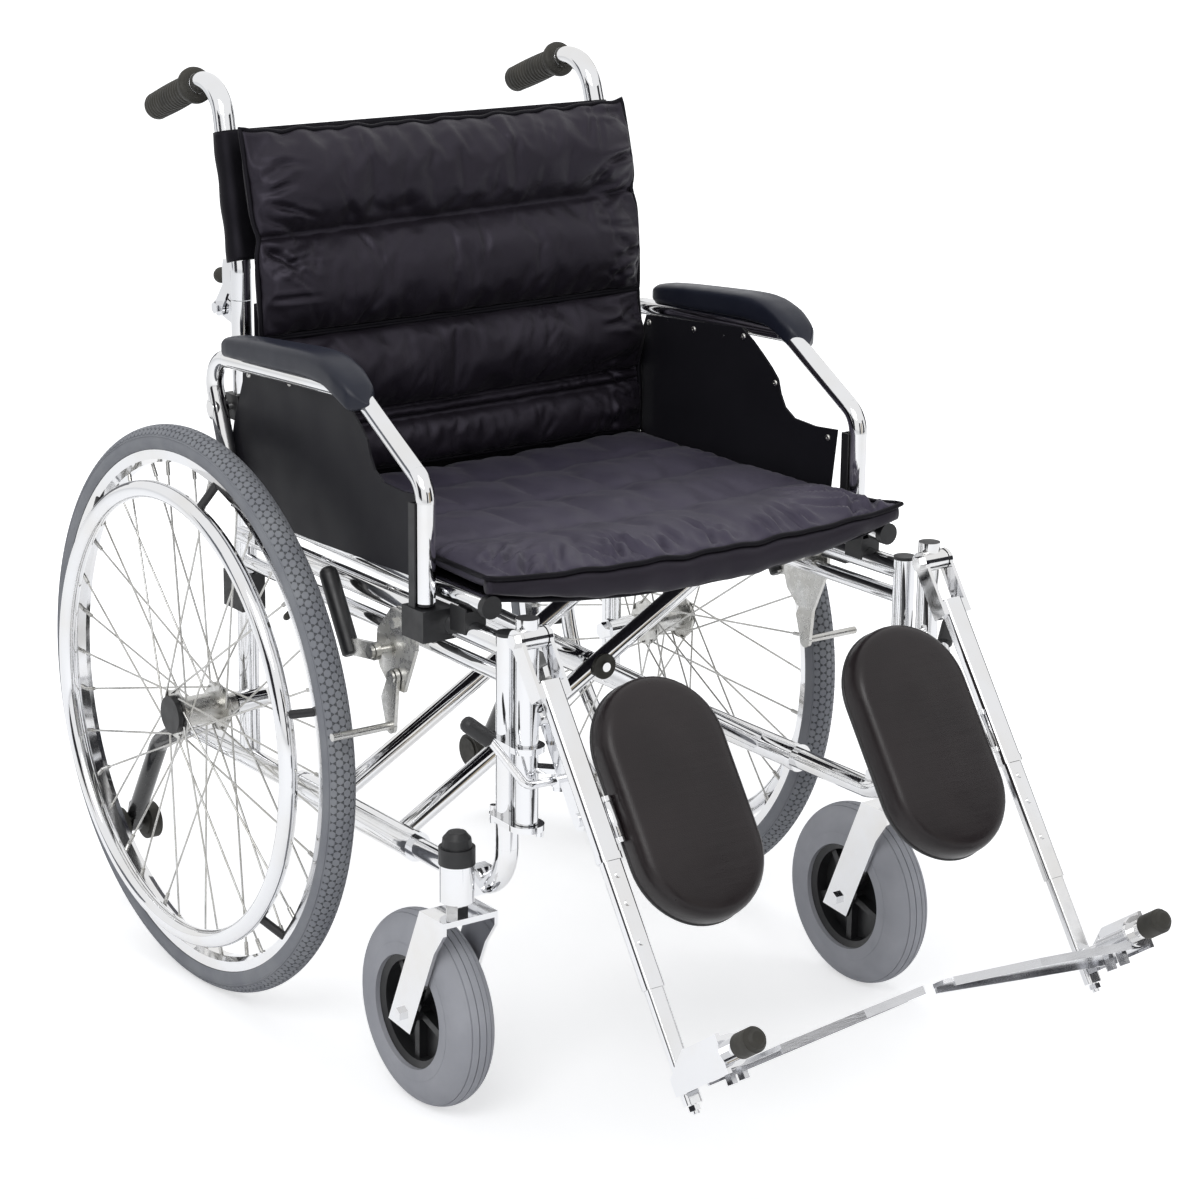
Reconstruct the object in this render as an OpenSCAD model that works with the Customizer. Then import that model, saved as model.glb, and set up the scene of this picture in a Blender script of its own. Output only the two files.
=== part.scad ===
// Manual folding wheelchair with elevating leg rests, padded cloth seat and
// back, flip-back arms and anti-tippers.
// Millimetres, Z up, the chair faces -Y, and +X is the seated person's left.
// The origin lies on the floor under the middle of the chair.

/* [Show] */
// Which piece to build

/* [Frame] */
// Width of the seat, which the side frames' spacing follows
seat_w = 500; // [482:1:520]
// Outside diameter of the side frame tubes
tube_d = 22.2; // [20:0.1:24]
// Diameter of the tubes of the folding cross brace
brace_d = 20; // [18:0.5:21]
// Diameter of the two seat rails on top of the cross brace
seat_rail_d = 19.5; // [18:0.5:19.5]
// Height of the lower side rail, which the cross brace turns on
low_z = 240; // [236:1:242]
// Height of the seat rails
seat_z = 520; // [519:0.5:523]
// Height of the top side rail
top_z = 488; // [486:0.5:489]
// Height of the middle side rail
mid_z = 459; // [457:0.5:461]
// Distance of the front upright ahead of the rear axle
upright_y = -492; // [-496:1:-490]
// Distance of the back post behind the rear axle
post_y = 8; // [6:0.5:10]
// How far the rear axle stands behind the middle of the chair
axle_back = 292; // [287:1:297]

/* [Wheels] */
// Outside radius of the rear tyre
tyre_r = 305; // [300:0.5:306]
// Width of the rear tyre
tyre_w = 34; // [30:0.5:35]
// Distance of the rear wheel's middle plane outside the side frame
wheel_out = 63; // [63:0.5:66]
// Number of spokes in a rear wheel
spoke_count = 36; // [36]
// Diameter of a spoke
spoke_d = 2.2; // [2:0.1:2.6]
// Diameter of the push rim's tube
pushrim_d = 19; // [16:0.5:20]
// Outside radius of the caster tyre
caster_r = 100; // [97:0.5:100]
// Width of the caster tyre
caster_w = 48; // [42:1:49]
// Trail of the caster axle behind the swivel axis
caster_trail = 53.5; // [50:0.5:55]

/* [Arms and back] */
// Outside diameter of the arm's tube
arm_tube_d = 19; // [17:0.5:19.5]
// Distance of the arm's tube outside the side frame
arm_out = 22.5; // [22.5:0.1:23.5]
// Outside diameter of the upper back tube
cane_d = 22.2; // [20:0.1:23]
// Length of the push grip
grip_len = 96; // [85:1:104]

/* [Leg rests] */
// Angle of the leg tube from upright in its lowest place
leg_angle = 34.6; // [33:0.1:36]
// Width of the outer leg bar
leg_w = 23.5; // [23:0.5:25]
// Width of the sliding leg bar inside it
inner_w = 18; // [16:0.5:18]
// Length of the leg from its hinge to its lower end
leg_len = 452; // [445:1:455]
// Length of the calf pad
pad_len = 240; // [220:1:245]
// Width of the calf pad
pad_w = 138; // [115:1:140]

/* [Cloth] */
// Thickness of the seat cushion at its crown
seat_t = 34; // [28:1:38]
// Thickness of the back cushion at its crown
back_t = 44; // [36:1:48]

/* [Hidden] */
$fn = 48;
chrome = [0.80, 0.81, 0.82];
steel = [0.62, 0.63, 0.65];
black = [0.06, 0.06, 0.07];
rubber = [0.10, 0.10, 0.11];
grey_tyre = [0.50, 0.51, 0.53];
cloth = [0.09, 0.08, 0.12];
leather = [0.13, 0.10, 0.11];
slide_gap = 0.4;      // clear space round a part that turns on another
// half the distance between the two side frames' tubes
side_x = seat_w / 2 - 5;
back_w = seat_w - 20;
wheel_x = side_x + wheel_out;
arm_x = side_x + arm_out;
caster_x = side_x + 32.5;
stem_y = -454.5;
caster_y = stem_y + caster_trail;
hang_x = side_x + 1.6;
hang_y = upright_y - 35;
post_x = side_x - 5;
cane_x = side_x - 13;
rise = seat_z - low_z;
brace_a = atan2(rise, 2 * side_x);
// places of the two brace pairs along the chair, front tubes first
pair_y = [-296, -170];
pair_step = brace_d + 6;
rim_r = tyre_r - 39.5;
split_z = 738;
hinge_y = 46;
hinge_z = 724;
arm_pivot = [14, 625];
arm_front = -386;
arm_line = [[arm_x, arm_front, 510], [arm_x, arm_front, 625],
  [arm_x, -269, 693], [arm_x, 30, 679.5], [arm_x, -14, 556]];
leg_top = [hang_y - 6, 507];
leg_d = [0, -sin(leg_angle), -cos(leg_angle)];
leg_n = [0, -cos(leg_angle), sin(leg_angle)];
// height of the foot plate's pin along the leg
foot_z = 29 - leg_len;
// the brake stands just ahead of the tyre
brake_y = -tyre_r - 11;

// ---- helpers ----

function unit(v) = v / norm(v);

// A round bar from one point to another.
module bar(a, b, d) {
  v = b - a;
  translate(a) rotate([0, acos(v[2] / norm(v)), atan2(v[1], v[0])])
    cylinder(h = norm(v), d = d);
}

// A box-section bar along Y and Z, seen from the side, at a given x.
module square_bar(a, b, wx, wn) {
  v = b - a;
  translate(a) rotate([atan2(-v[1], v[2]), 0, 0])
    translate([-wx / 2, -wn / 2, 0]) cube([wx, wn, norm(v)]);
}

function turn(p, i) =
  acos(unit(p[i] - p[i - 1]) * unit(p[i + 1] - p[i]));

// A bent round tube through corner points, with one bend radius.
module bent_tube(p, r, d) {
  n = len(p) - 1;
  for (i = [0:n - 1]) {
    u = unit(p[i + 1] - p[i]);
    t0 = i == 0 ? 0 : r * tan(turn(p, i) / 2);
    t1 = i == n - 1 ? 0 : r * tan(turn(p, i + 1) / 2);
    bar(p[i] + u * t0, p[i + 1] - u * t1, d);
  }
  for (i = [1:n - 1]) {
    u = unit(p[i] - p[i - 1]);
    v = unit(p[i + 1] - p[i]);
    phi = turn(p, i);
    c = p[i] + unit(v - u) * r / cos(phi / 2);
    t = r * tan(phi / 2);
    e = unit(p[i] - u * t - c);
    w = cross(e, u);
    // a hairline weld bead closes each end of the bend
    bar(p[i] - u * (t + 0.6), p[i] - u * (t - 0.6), d + 0.16);
    bar(p[i] + v * (t - 0.6), p[i] + v * (t + 0.6), d + 0.16);
    multmatrix([[e[0], u[0], w[0], c[0]], [e[1], u[1], w[1], c[1]],
      [e[2], u[2], w[2], c[2]], [0, 0, 0, 1]])
      rotate_extrude(angle = phi) translate([r, 0]) circle(d = d);
  }
}

// A round black handle with a domed far end, from one point to another.
module handle(a, b, d) {
  v = b - a;
  n = norm(v);
  translate(a) rotate([0, acos(v[2] / n), atan2(v[1], v[0])])
    rotate_extrude() polygon([[0, 0], [d * 0.4, 0], [d / 2, d * 0.1],
      [d / 2, n - d * 0.42], [d * 0.44, n - d * 0.2],
      [d * 0.3, n - d * 0.06], [d * 0.12, n], [0, n]]);
}

// A flat plate that stands in the side view: points are [y, z].
module side_plate(x, t, p) {
  translate([x, 0, 0]) rotate([90, 0, 90]) linear_extrude(t) polygon(p);
}

// A disc or pin along X.
module cross_pin(x0, x1, y, z, d) {
  translate([x0, y, z]) rotate([0, 90, 0]) cylinder(h = x1 - x0, d = d);
}

// A disc or pin along Y.
module long_pin(x, y0, y1, z, d) {
  translate([x, y0, z]) rotate([-90, 0, 0]) cylinder(h = y1 - y0, d = d);
}

// A capsule-shaped outline between two points in the plane, its sides
// drawn in by a hair.
module capsule(a, b, r) {
  v = b - a;
  translate(a) circle(r = r);
  translate(b) circle(r = r);
  translate(a) rotate(atan2(v[1], v[0])) translate([0, 0.4 - r])
    square([norm(v), 2 * r - 0.8]);
}

// A capsule-shaped plate that stands in the side view.
module link(x, t, a, b, r) {
  translate([x, 0, 0]) rotate([90, 0, 90]) linear_extrude(t)
    capsule(a, b, r);
}

// Everything is drawn from the rear axle and moved into place here.
module place() { translate([0, axle_back, 0]) children(); }
module right() { mirror([1, 0, 0]) children(); }

// ---- side frame ----

// The top rail leans in a little towards the back.
module top_rail(z, d)
  bar([side_x, upright_y, z], [side_x - 2, post_y, z], d);

module side_frame() color(chrome) place() {
  difference() {
    union() {
      bent_tube([[side_x, 112, low_z], [side_x, upright_y, low_z],
        [side_x, upright_y, 500]], 48, tube_d);
      bar([post_x, post_y, low_z], [post_x, post_y, split_z - slide_gap],
        tube_d);
      top_rail(top_z, tube_d);
      top_rail(mid_z, 16);
      // rings that keep the brace sleeve in its place
      for (y = [-334, -114]) long_pin(side_x, y, y + 8, low_z, 31);
      // caster stem housing and its web
      translate([caster_x, stem_y, 229.5]) cylinder(h = 38, d = 34);
      translate([side_x - 4, stem_y - 7, 232]) cube([30, 14, 28]);
      // rear axle boss
      cross_pin(post_x - 12, side_x + 18, 0, tyre_r, 24);
      // rings that carry the leg hanger
      for (z = [318, 396]) translate([0, 0, z]) linear_extrude(6)
        capsule([side_x, upright_y], [hang_x, hang_y],
          tube_d / 2 + 6);
      // lug of the folding back
      link(post_x - 2.5, 5, [post_y + 6, 716], [hinge_y, hinge_z], 9);
    }
    // bore for the caster stem
    translate([caster_x, stem_y, 220]) cylinder(h = 42, d = 16.8);
    // bore for the hanger in the upper ring
    translate([hang_x, hang_y, 395])
      cylinder(h = 8, d = tube_d + 2 * slide_gap);
    // bore for the back's bolt
    cross_pin(post_x - 5, post_x + 5, hinge_y, hinge_z,
      8 + 2 * slide_gap);
    // socket for the anti-tipper in the rear end of the lower rail
    long_pin(side_x, 52, 114, low_z, 16 + 2 * slide_gap);
  }
  // pin that the leg hanger turns on
  translate([hang_x, hang_y, 322]) cylinder(h = 26, d = 11);
  // rear axle with its nut
  cross_pin(post_x - 12, wheel_x + 26, 0, tyre_r, 12);
  translate([post_x - 21, 0, tyre_r]) rotate([0, 90, 0])
    cylinder(h = 9.5, d = 20, $fn = 6);
  // bolts on the lower hanger ring
  translate([hang_x - 8, hang_y - 10, 312]) cylinder(h = 9, d = 7);
  translate([side_x + 8, upright_y + 11, 312]) cylinder(h = 18, d = 7);
  // arm pivot pin
  cross_pin(post_x, arm_x + 5, arm_pivot[0], arm_pivot[1], 9);
  cross_pin(arm_x + 5, arm_x + 9, arm_pivot[0], arm_pivot[1], 15);
}

// Black plugs, saddles, the back post's collar and the arm's front latch.
module frame_trim() color(black) place() {
  // plugs
  translate([side_x, upright_y, 500.2]) cylinder(h = 3, d = tube_d);
  translate([caster_x, stem_y, 267.7]) cylinder(h = 17, d = 36);
  translate([caster_x, stem_y, 284.7]) cylinder(h = 9, d1 = 30, d2 = 28);
  translate([caster_x, stem_y, 293.7]) cylinder(h = 6, d1 = 28, d2 = 18);
  // saddles that the seat rail rests in
  for (y = [-438, -66]) difference() {
    translate([side_x - 12, y, top_z]) cube([24, 26, 25.5]);
    top_rail(top_z, tube_d + 0.3);
    translate([side_x - 10.2, y - 1, seat_z - seat_rail_d / 2 - 0.4])
      cube([20.4, 28, 20]);
    translate([side_x - 20, y - 1, top_z - 20]) cube([40, 28, 20]);
  }
  // collar on the back post
  difference() {
    translate([post_x - 14, post_y - 14, 405]) cube([28, 40, 40]);
    bar([post_x, post_y, 400], [post_x, post_y, 450], tube_d + 0.2);
  }
  // arm bracket on the back post
  difference() {
    translate([post_x - 13, post_y - 13, 612]) cube([27, 27, 27]);
    bar([post_x, post_y, 600], [post_x, post_y, 650], tube_d + 0.2);
    cross_pin(post_x, arm_x, arm_pivot[0], arm_pivot[1], 9.2);
  }
  // front latch: a channel behind the arm's front leg, on a block
  difference() {
    union() {
      translate([arm_x - 11.6, arm_front + 2, 474])
        cube([23.2, 10.6, 134]);
      translate([side_x - 2, arm_front - 15, 474])
        cube([arm_x - side_x + 15, 38, 31]);
    }
    translate([arm_x - arm_tube_d / 2 - 0.5, arm_front - 20, 506])
      cube([arm_tube_d + 1, 30.4, 110]);
    top_rail(top_z, tube_d + 0.3);
    long_pin(side_x, arm_front - 20, arm_front + 30, seat_z,
      seat_rail_d + 1.5);
  }
}

// ---- rear wheel ----

module rear_hub() color(steel) place() translate([wheel_x, 0, tyre_r])
  rotate([0, 90, 0]) difference() {
    union() {
      translate([0, 0, -44]) cylinder(h = 76, d = 22);
      cylinder(h = 50, d = 32, center = true);
      for (s = [-1, 1]) translate([0, 0, s * 25 - 1.5])
        cylinder(h = 3, d = 52);
      color(black) translate([0, 0, 27]) cylinder(h = 6, d = 40);
    }
    translate([0, 0, -50]) cylinder(h = 77, d = 12 + 2 * slide_gap);
  }

// Crossed steel spokes: each goes to the rim 60 degrees round.
module spokes() color(chrome) place() translate([wheel_x, 0, tyre_r])
  rotate([0, 90, 0])
  for (s = [-1, 1]) for (i = [0:spoke_count / 2 - 1]) {
    h = i * 720 / spoke_count + (s > 0 ? 360 / spoke_count : 0);
    e = h + (i % 2 == 0 ? 60 : -60);
    z0 = s * (25 + (i % 2 == 0 ? 2.9 : -2.9));
    a = [23 * cos(h), 23 * sin(h), z0];
    b = [(rim_r - 0.3) * cos(e), (rim_r - 0.3) * sin(e), s * 3];
    bar(a, b, spoke_d);
    bar(b - 14 * unit(b - a), b, 4.4);
  }

function rim_shape(g) = [[rim_r - g, -5], [rim_r - g, 5],
  [rim_r + 4 - g, 12 + g], [rim_r + 14.6, 13.6 + g],
  [rim_r + 14.6, -13.6 - g], [rim_r + 4 - g, -12 - g]];

module rim() color(chrome) place() translate([wheel_x, 0, tyre_r])
  rotate([0, 90, 0]) difference() {
    rotate_extrude($fn = 96) polygon(rim_shape(0));
    rotate_extrude($fn = 96) polygon([[rim_r + 4, -9.6], [rim_r + 4, 9.6],
      [rim_r + 16, 11.6], [rim_r + 16, -11.6]]);
    // hole for the valve
    rotate(-128) translate([rim_r - 6, 0, 0]) rotate([0, 90, 0])
      cylinder(h = 20, d = 7.4);
  }

module tyre() color(grey_tyre) place() translate([wheel_x, 0, tyre_r])
  rotate([0, 90, 0]) {
    difference() {
      rotate_extrude($fn = 96) intersection() {
        translate([tyre_r - tyre_w / 2, 0]) circle(d = tyre_w);
        translate([rim_r + 14.8, -20]) square([40, 40]);
      }
      // two tread grooves
      for (x = [-6, 6]) rotate_extrude($fn = 96)
        translate([tyre_r - 2.6, x - 0.8]) square([4, 1.6]);
    }
    color(black) rotate(-128) translate([rim_r - 26, 0, 0])
      rotate([0, 90, 0]) cylinder(h = 42, d = 7);
  }

module push_rim() color(chrome) place() translate([wheel_x, 0, tyre_r])
  rotate([0, 90, 0]) difference() {
    union() {
      rotate_extrude($fn = 96)
        translate([rim_r - 15.5 - pushrim_d / 2, 30]) circle(d = pushrim_d);
      color(black) for (a = [15:60:359]) rotate(a)
        bar([rim_r - 22, 0, 28], [rim_r + 6, 0, 9], 9);
    }
    rotate_extrude($fn = 96) polygon(rim_shape(0.25));
  }

// ---- caster ----

module caster_fork() color(chrome) place() {
  s = caster_w / 2 + 3.5;
  // crown plate, slanted side plates, stem and nut
  translate([caster_x - s - 4, stem_y - 24, 213.5])
    cube([2 * s + 8, 42, 6]);
  for (x = [-s - 4, s])
    side_plate(caster_x + x, 4, [[stem_y - 24, 219.5], [stem_y + 18,
      219.5], [caster_y + 22, caster_r - 12], [caster_y - 17,
      caster_r - 16], [stem_y - 7.5, 183], [stem_y - 24, 206]]);
  translate([caster_x, stem_y, 219.5]) cylinder(h = 9.4, d = 24, $fn = 6);
  translate([caster_x, stem_y, 215]) cylinder(h = 46.5, d = 16);
  cross_pin(caster_x - s - 4, caster_x + s + 4, caster_y, caster_r, 8);
  for (x = [-s - 9, s + 4]) translate([caster_x + x, caster_y, caster_r])
    rotate([0, 90, 0]) cylinder(h = 5, d = 15, $fn = 6);
}

module caster_hub() color(black) place()
  translate([caster_x, caster_y, caster_r]) rotate([0, 90, 0])
  difference() {
    union() {
      cylinder(h = caster_w - 2, d = 22, center = true);
      for (a = [0:72:359]) rotate(a) translate([6, -4, -12])
        cube([50, 8, 24]);
      rotate_extrude() polygon([[51, -16], [51, 16], [57.8, 19],
        [57.8, -19]]);
      cylinder(h = 5, d = 104, center = true);
    }
    cylinder(h = caster_w + 2, d = 8 + 2 * slide_gap, center = true);
  }

module caster_tyre() color(grey_tyre) place()
  translate([caster_x, caster_y, caster_r]) rotate([0, 90, 0])
  difference() {
    rotate_extrude($fn = 72) intersection() {
      translate([caster_r - 26, 0]) union() {
        translate([0, 0]) circle(r = 24);
        translate([-20, -caster_w / 2]) square([16, caster_w]);
        translate([2, 0]) circle(r = 24);
      }
      translate([58, -caster_w / 2]) square([caster_r - 58, caster_w]);
    }
    for (x = [-11, -4, 4, 11]) rotate_extrude($fn = 72)
      translate([caster_r - 1.6 - abs(x) * abs(x) / 60, x - 0.6])
      square([6, 1.2]);
  }

// ---- arm ----

module arm_tube() color(chrome) place() {
  difference() {
    union() {
      bent_tube(arm_line, 30, arm_tube_d);
      cross_pin(arm_x - 7, arm_x + 7, arm_pivot[0], arm_pivot[1], 24);
      // hole plugs at the ends
      color(black) translate([arm_x, arm_front, 507])
        cylinder(h = 3.2, d = arm_tube_d - 2);
    }
    cross_pin(arm_x - 12, arm_x + 5.5, arm_pivot[0], arm_pivot[1],
      9 + 2 * slide_gap);
    cross_pin(arm_x + 4.5, arm_x + 12, arm_pivot[0], arm_pivot[1],
      15 + 2 * slide_gap);
  }
}

// Arm pad: a straight grip with a broader drooping front end.
module arm_pad() color(rubber) place() difference() {
  intersection() {
    rotate([90, 0, 90]) linear_extrude(400)
      polygon([[-28, 690], [-27, 709], [-33, 711], [-83, 717],
        [-135, 721.5], [-190, 726], [-215, 727], [-236, 725],
        [-258, 718], [-275, 709], [-290, 697], [-296, 689],
        [-294, 681], [-284, 677], [-262, 692], [-240, 699],
        [-197, 698]]);
    translate([arm_x, 0, 660]) linear_extrude(90) polygon([[-8, -20],
      [-9, -34], [-9.5, -150], [-11, -190], [-12.2, -226],
      [-12.2, -262], [-10, -284], [-4, -295], [5, -298], [16, -295],
      [24, -284], [27, -262], [26, -200], [25, -34], [23, -20]]);
    // rounded top along the length
    translate([arm_x + 6, 10, 673]) rotate([86.4, 0, 0])
      cylinder(h = 360, r = 41);
  }
  bent_tube(arm_line, 30, arm_tube_d + 0.3);
}

module side_panel() color(black) place() {
  difference() {
    side_plate(arm_x - arm_tube_d / 2 - 2.4, 2.2, [[-30, 676], [-110, 682],
      [-202, 690], [-222, 679], [-238, 668], [-254, 656], [-266, 645],
      [-271, 630], [-279, 617], [-295, 608], [-330, 606], [-366, 609],
      [-355, 525], [-150, 519], [8, 519], [6, 584], [-6, 620]]);
    // slots for the arm pad's screws
    for (y = [-70, -170]) cross_pin(arm_x - 20, arm_x, y, 676, 3);
  }
}

// ---- folding back ----

cane_low = [post_x, post_y, 772];
cane_bend = [cane_x, post_y + 52, 966];
grip_dir = [0, 0.939, -0.344];

module cane_line(d, from, to)
  bar(cane_low + from * unit(cane_bend - cane_low),
    cane_low + to * unit(cane_bend - cane_low), d);

module back_cane() color(chrome) place() {
  bent_tube([[post_x, post_y, split_z + slide_gap], cane_low, cane_bend,
    cane_bend + (46 + grip_len) * grip_dir], 42, cane_d);
  for (x = [post_x - 6.5, post_x + 3.5])
    side_plate(x, 3, [[post_y, 742], [post_y, 774], [post_y + 26, 777],
      [hinge_y - 10, 768], [hinge_y - 10, 750], [hinge_y + 5, 731],
      [hinge_y + 8, hinge_z], [hinge_y - 8, hinge_z], [post_y + 18,
      742]]);
  for (x = [post_x - 6.5, post_x + 3.5])
    cross_pin(x, x + 3, hinge_y, hinge_z, 18);
  // bolt with its heads
  cross_pin(post_x - 8, post_x + 8, hinge_y, hinge_z, 8);
  for (x = [post_x - 11.5, post_x + 6.5]) translate([x, hinge_y,
    hinge_z]) rotate([0, 90, 0]) cylinder(h = 5, d = 13, $fn = 6);
  // latch knob that lets the back fold
  translate([post_x - 4, hinge_y - 18, 752]) cube([8, 8, 10]);
  long_pin(post_x, hinge_y - 12, hinge_y - 2, 757, 6);
  color(black) translate([post_x, hinge_y + 3, 757]) sphere(d = 17);
}

module push_grip() color(rubber) place() difference() {
  a = cane_bend + 50 * grip_dir;
  b = a + grip_len * grip_dir;
  union() {
    bar(a, b, 26.5);
    // hand flange and rounded end
    bar(a, a + 6 * grip_dir, 39);
    bar(a + 6 * grip_dir, a + 9 * grip_dir, 33);
    bar(b, b + 3 * grip_dir, 21);
    for (i = [0:3]) bar(a + (i * 21 + 13) * grip_dir,
      a + (i * 21 + 28) * grip_dir, 29);
  }
  bar(a - 2 * grip_dir, a + (grip_len - 3) * grip_dir, cane_d + 0.2);
}

// ---- wheel brake ----

module brake_bracket() color(steel) place() {
  b = brake_y;
  side_plate(side_x + 11.5, 4, [[b - 40, 484], [b + 4, 486],
    [b + 30, 458], [b + 32, 436], [b + 26, 420], [b + 8, 404],
    [b - 18, 404], [b - 40, 452]]);
  cross_pin(side_x + 15, side_x + 33, b + 16, 440, 8);
  cross_pin(side_x + 30.2, side_x + 34, b + 16, 440, 13);
  cross_pin(side_x + 15, side_x + 24, b - 6, 418, 8);
  cross_pin(side_x + 21.4, side_x + 24, b - 6, 418, 13);
  // clamp bolts between the two rails, with nuts
  for (y = [b - 31, b - 4]) {
    cross_pin(side_x - 12, side_x + 19, y, 472, 6);
    for (x = [side_x - 16, side_x + 15.5]) translate([x, y, 472])
      rotate([0, 90, 0]) cylinder(h = 4.5, d = 11, $fn = 6);
  }
}

module brake_handle() color(black) place() difference() {
  union() {
    color(steel) link(side_x + 24.5, 5, [brake_y + 16, 440],
      [brake_y + 62, 434], 9);
    handle([side_x + 27, brake_y + 59, 425.5],
      [side_x + 27, brake_y + 106, 505.5], 19.4);
  }
  cross_pin(side_x + 20, side_x + 34, brake_y + 16, 440,
    8 + 2 * slide_gap);
}

module brake_shoe() color(steel) place() difference() {
  b = brake_y;
  union() {
    link(side_x + 16.5, 4, [b - 6, 418], [b, 366], 8);
    side_plate(side_x + 16.5, 4, [[b - 14, 414], [b + 2, 420],
      [b + 16, 392], [b + 7, 364]]);
    cross_pin(side_x + 17, wheel_x + 24, b, 366, 8);
  }
  cross_pin(side_x + 10, side_x + 24, b - 6, 418, 8 + 2 * slide_gap);
}

// ---- leg rest ----

// The leg's own frame: Z runs up the leg bar and -Y is its front.
module in_leg() place() translate([hang_x, leg_top[0], leg_top[1]])
  rotate([-leg_angle, 0, 0]) children();

module box(x, y, z) translate([x[0], y[0], z[0]])
  cube([x[1] - x[0], y[1] - y[0], z[1] - z[0]]);

module leg_hanger() color(chrome) place() difference() {
  union() {
    translate([hang_x, hang_y, 324.6]) cylinder(h = 198, d = tube_d);
    color(black) translate([hang_x, hang_y, 522.6])
      cylinder(h = 3, d = tube_d);
    cross_pin(hang_x - 13, hang_x + 13, leg_top[0], leg_top[1], 20);
    // lug of the latch lever and its pin
    translate([0, 0, 377]) linear_extrude(5)
      capsule([hang_x, hang_y], [hang_x - 21, hang_y - 22], 8);
    translate([hang_x - 21, hang_y - 22, 362]) cylinder(h = 16, d = 6);
    translate([hang_x - 21, hang_y - 22, 359]) cylinder(h = 4, d = 11);
    // ratchet arm beside the leg bar
    link(hang_x - 17, 4, [hang_y - 10, 428], [hang_y - 66, 344], 11);
    cross_pin(hang_x - 17, hang_x - 6, hang_y - 8, 428, 14);
    for (p = [[hang_y - 10, 428], [hang_y - 66, 344]])
      cross_pin(hang_x - 20, hang_x - 10, p[0], p[1], 13);
  }
  cross_pin(hang_x - 14, hang_x + 14, leg_top[0], leg_top[1],
    8 + 2 * slide_gap);
  translate([hang_x, hang_y, 320])
    cylinder(h = 30, d = 11 + 2 * slide_gap);
}

module hanger_latch() color(chrome) place() difference() {
  x = hang_x - 21;
  y = hang_y - 22;
  union() {
    translate([x, y, 363.6]) cylinder(h = 12.8, d = 14);
    bent_tube([[x + 5, y - 1, 370], [x + 38, y - 2, 371],
      [x + 57, y + 33, 412]], 9, 8);
    color(black) handle([x + 55, y + 31, 409], [x + 77, y + 47, 429], 16);
  }
  translate([x, y, 354]) cylinder(h = 40, d = 6 + 2 * slide_gap);
}

// A bar of rounded box section along the leg, its front kept in line.
module oval_bar(w, d, r, z) translate([0, -3, z[0]])
  linear_extrude(z[1] - z[0]) union() {
    square([w - 2 * r, d], center = true);
    square([w, d - 2 * r], center = true);
    for (i = [-1, 1]) for (j = [-1, 1])
      translate([i * (w / 2 - r), j * (d / 2 - r)]) circle(r = r);
  }

module leg_bar() color(chrome) in_leg() {
  difference() {
    union() {
      oval_bar(leg_w, 14.6, 5, [-218, -44]);
      oval_bar(leg_w - 2.5, 13, 4.6, [-343, -218]);
      box([-17.8, 17.8], [-9, 9], [-60, -46]);
      for (x = [-17.8, 13.8]) {
        translate([x, 0, 0]) rotate([0, 90, 0]) cylinder(h = 4, d = 22);
        box([x, x + 4], [-9, 9], [-50, 0]);
      }
      // collar where the narrower bar leaves the wider one
      oval_bar(leg_w + 1.4, 16, 5.6, [-221, -214]);
      // lugs of the calf pad's hinge
      for (z = [-166, -206]) {
        box([-19.5, -10], [-5, 2], [z, z + 5]);
        translate([-19.5, 0, z]) cylinder(h = 5, d = 12);
      }
    }
    oval_bar(inner_w + 2 * slide_gap, 11.2, 4, [-350, -190]);
  }
  // pins of the two hinges
  translate([-19.5, 0, -204]) cylinder(h = 40, d = 6);
  translate([-21, 0, 0]) rotate([0, 90, 0]) cylinder(h = 42, d = 8);
  for (x = [-22, 17.8]) translate([x, 0, 0]) rotate([0, 90, 0])
    cylinder(h = 4.5, d = 14, $fn = 6);
  // stop buttons
  for (z = [-300, -262, -235]) translate([0, -9, z])
    rotate([90, 0, 0]) cylinder(h = 2, d = 6);
}

module leg_slide() color(chrome) in_leg() {
  oval_bar(inner_w, 10.4, 3.6, [-leg_len, -262]);
  // end bolt
  translate([0, -3, -leg_len - 9]) cylinder(h = 10, d = 7);
  translate([0, -3, -leg_len - 6]) cylinder(h = 5, d = 12, $fn = 6);
  // side bracket with the front ear that carries the foot plate's pin
  difference() {
    union() {
      box([inner_w / 2 - 0.5, 13], [-90, 1],
        [foot_z - 19, foot_z + 18]);
      translate([0, -86, foot_z]) rotate([90, 0, 0])
        cylinder(h = 4, d = 30);
      box([0, 13], [-90, -86], [foot_z - 15, foot_z + 15]);
    }
    translate([12, -45, foot_z + 18]) rotate([-30, 0, 0])
      translate([-20, 10, 6]) cube([34, 60, 30]);
  }
  translate([0, 0, foot_z]) rotate([90, 0, 0]) {
    cylinder(h = 110, d = 10);
    translate([0, 0, 89]) cylinder(h = 15.2, d = 20);
    // clamp knob with a rounded end
    color(black) translate([0, 0, 104]) {
      cylinder(h = 22, d = 24);
      translate([0, 0, 21.9]) cylinder(h = 4, d1 = 23.6, d2 = 19);
      translate([0, 0, 25.8]) cylinder(h = 2, d1 = 18.4, d2 = 12);
    }
  }
}

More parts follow.
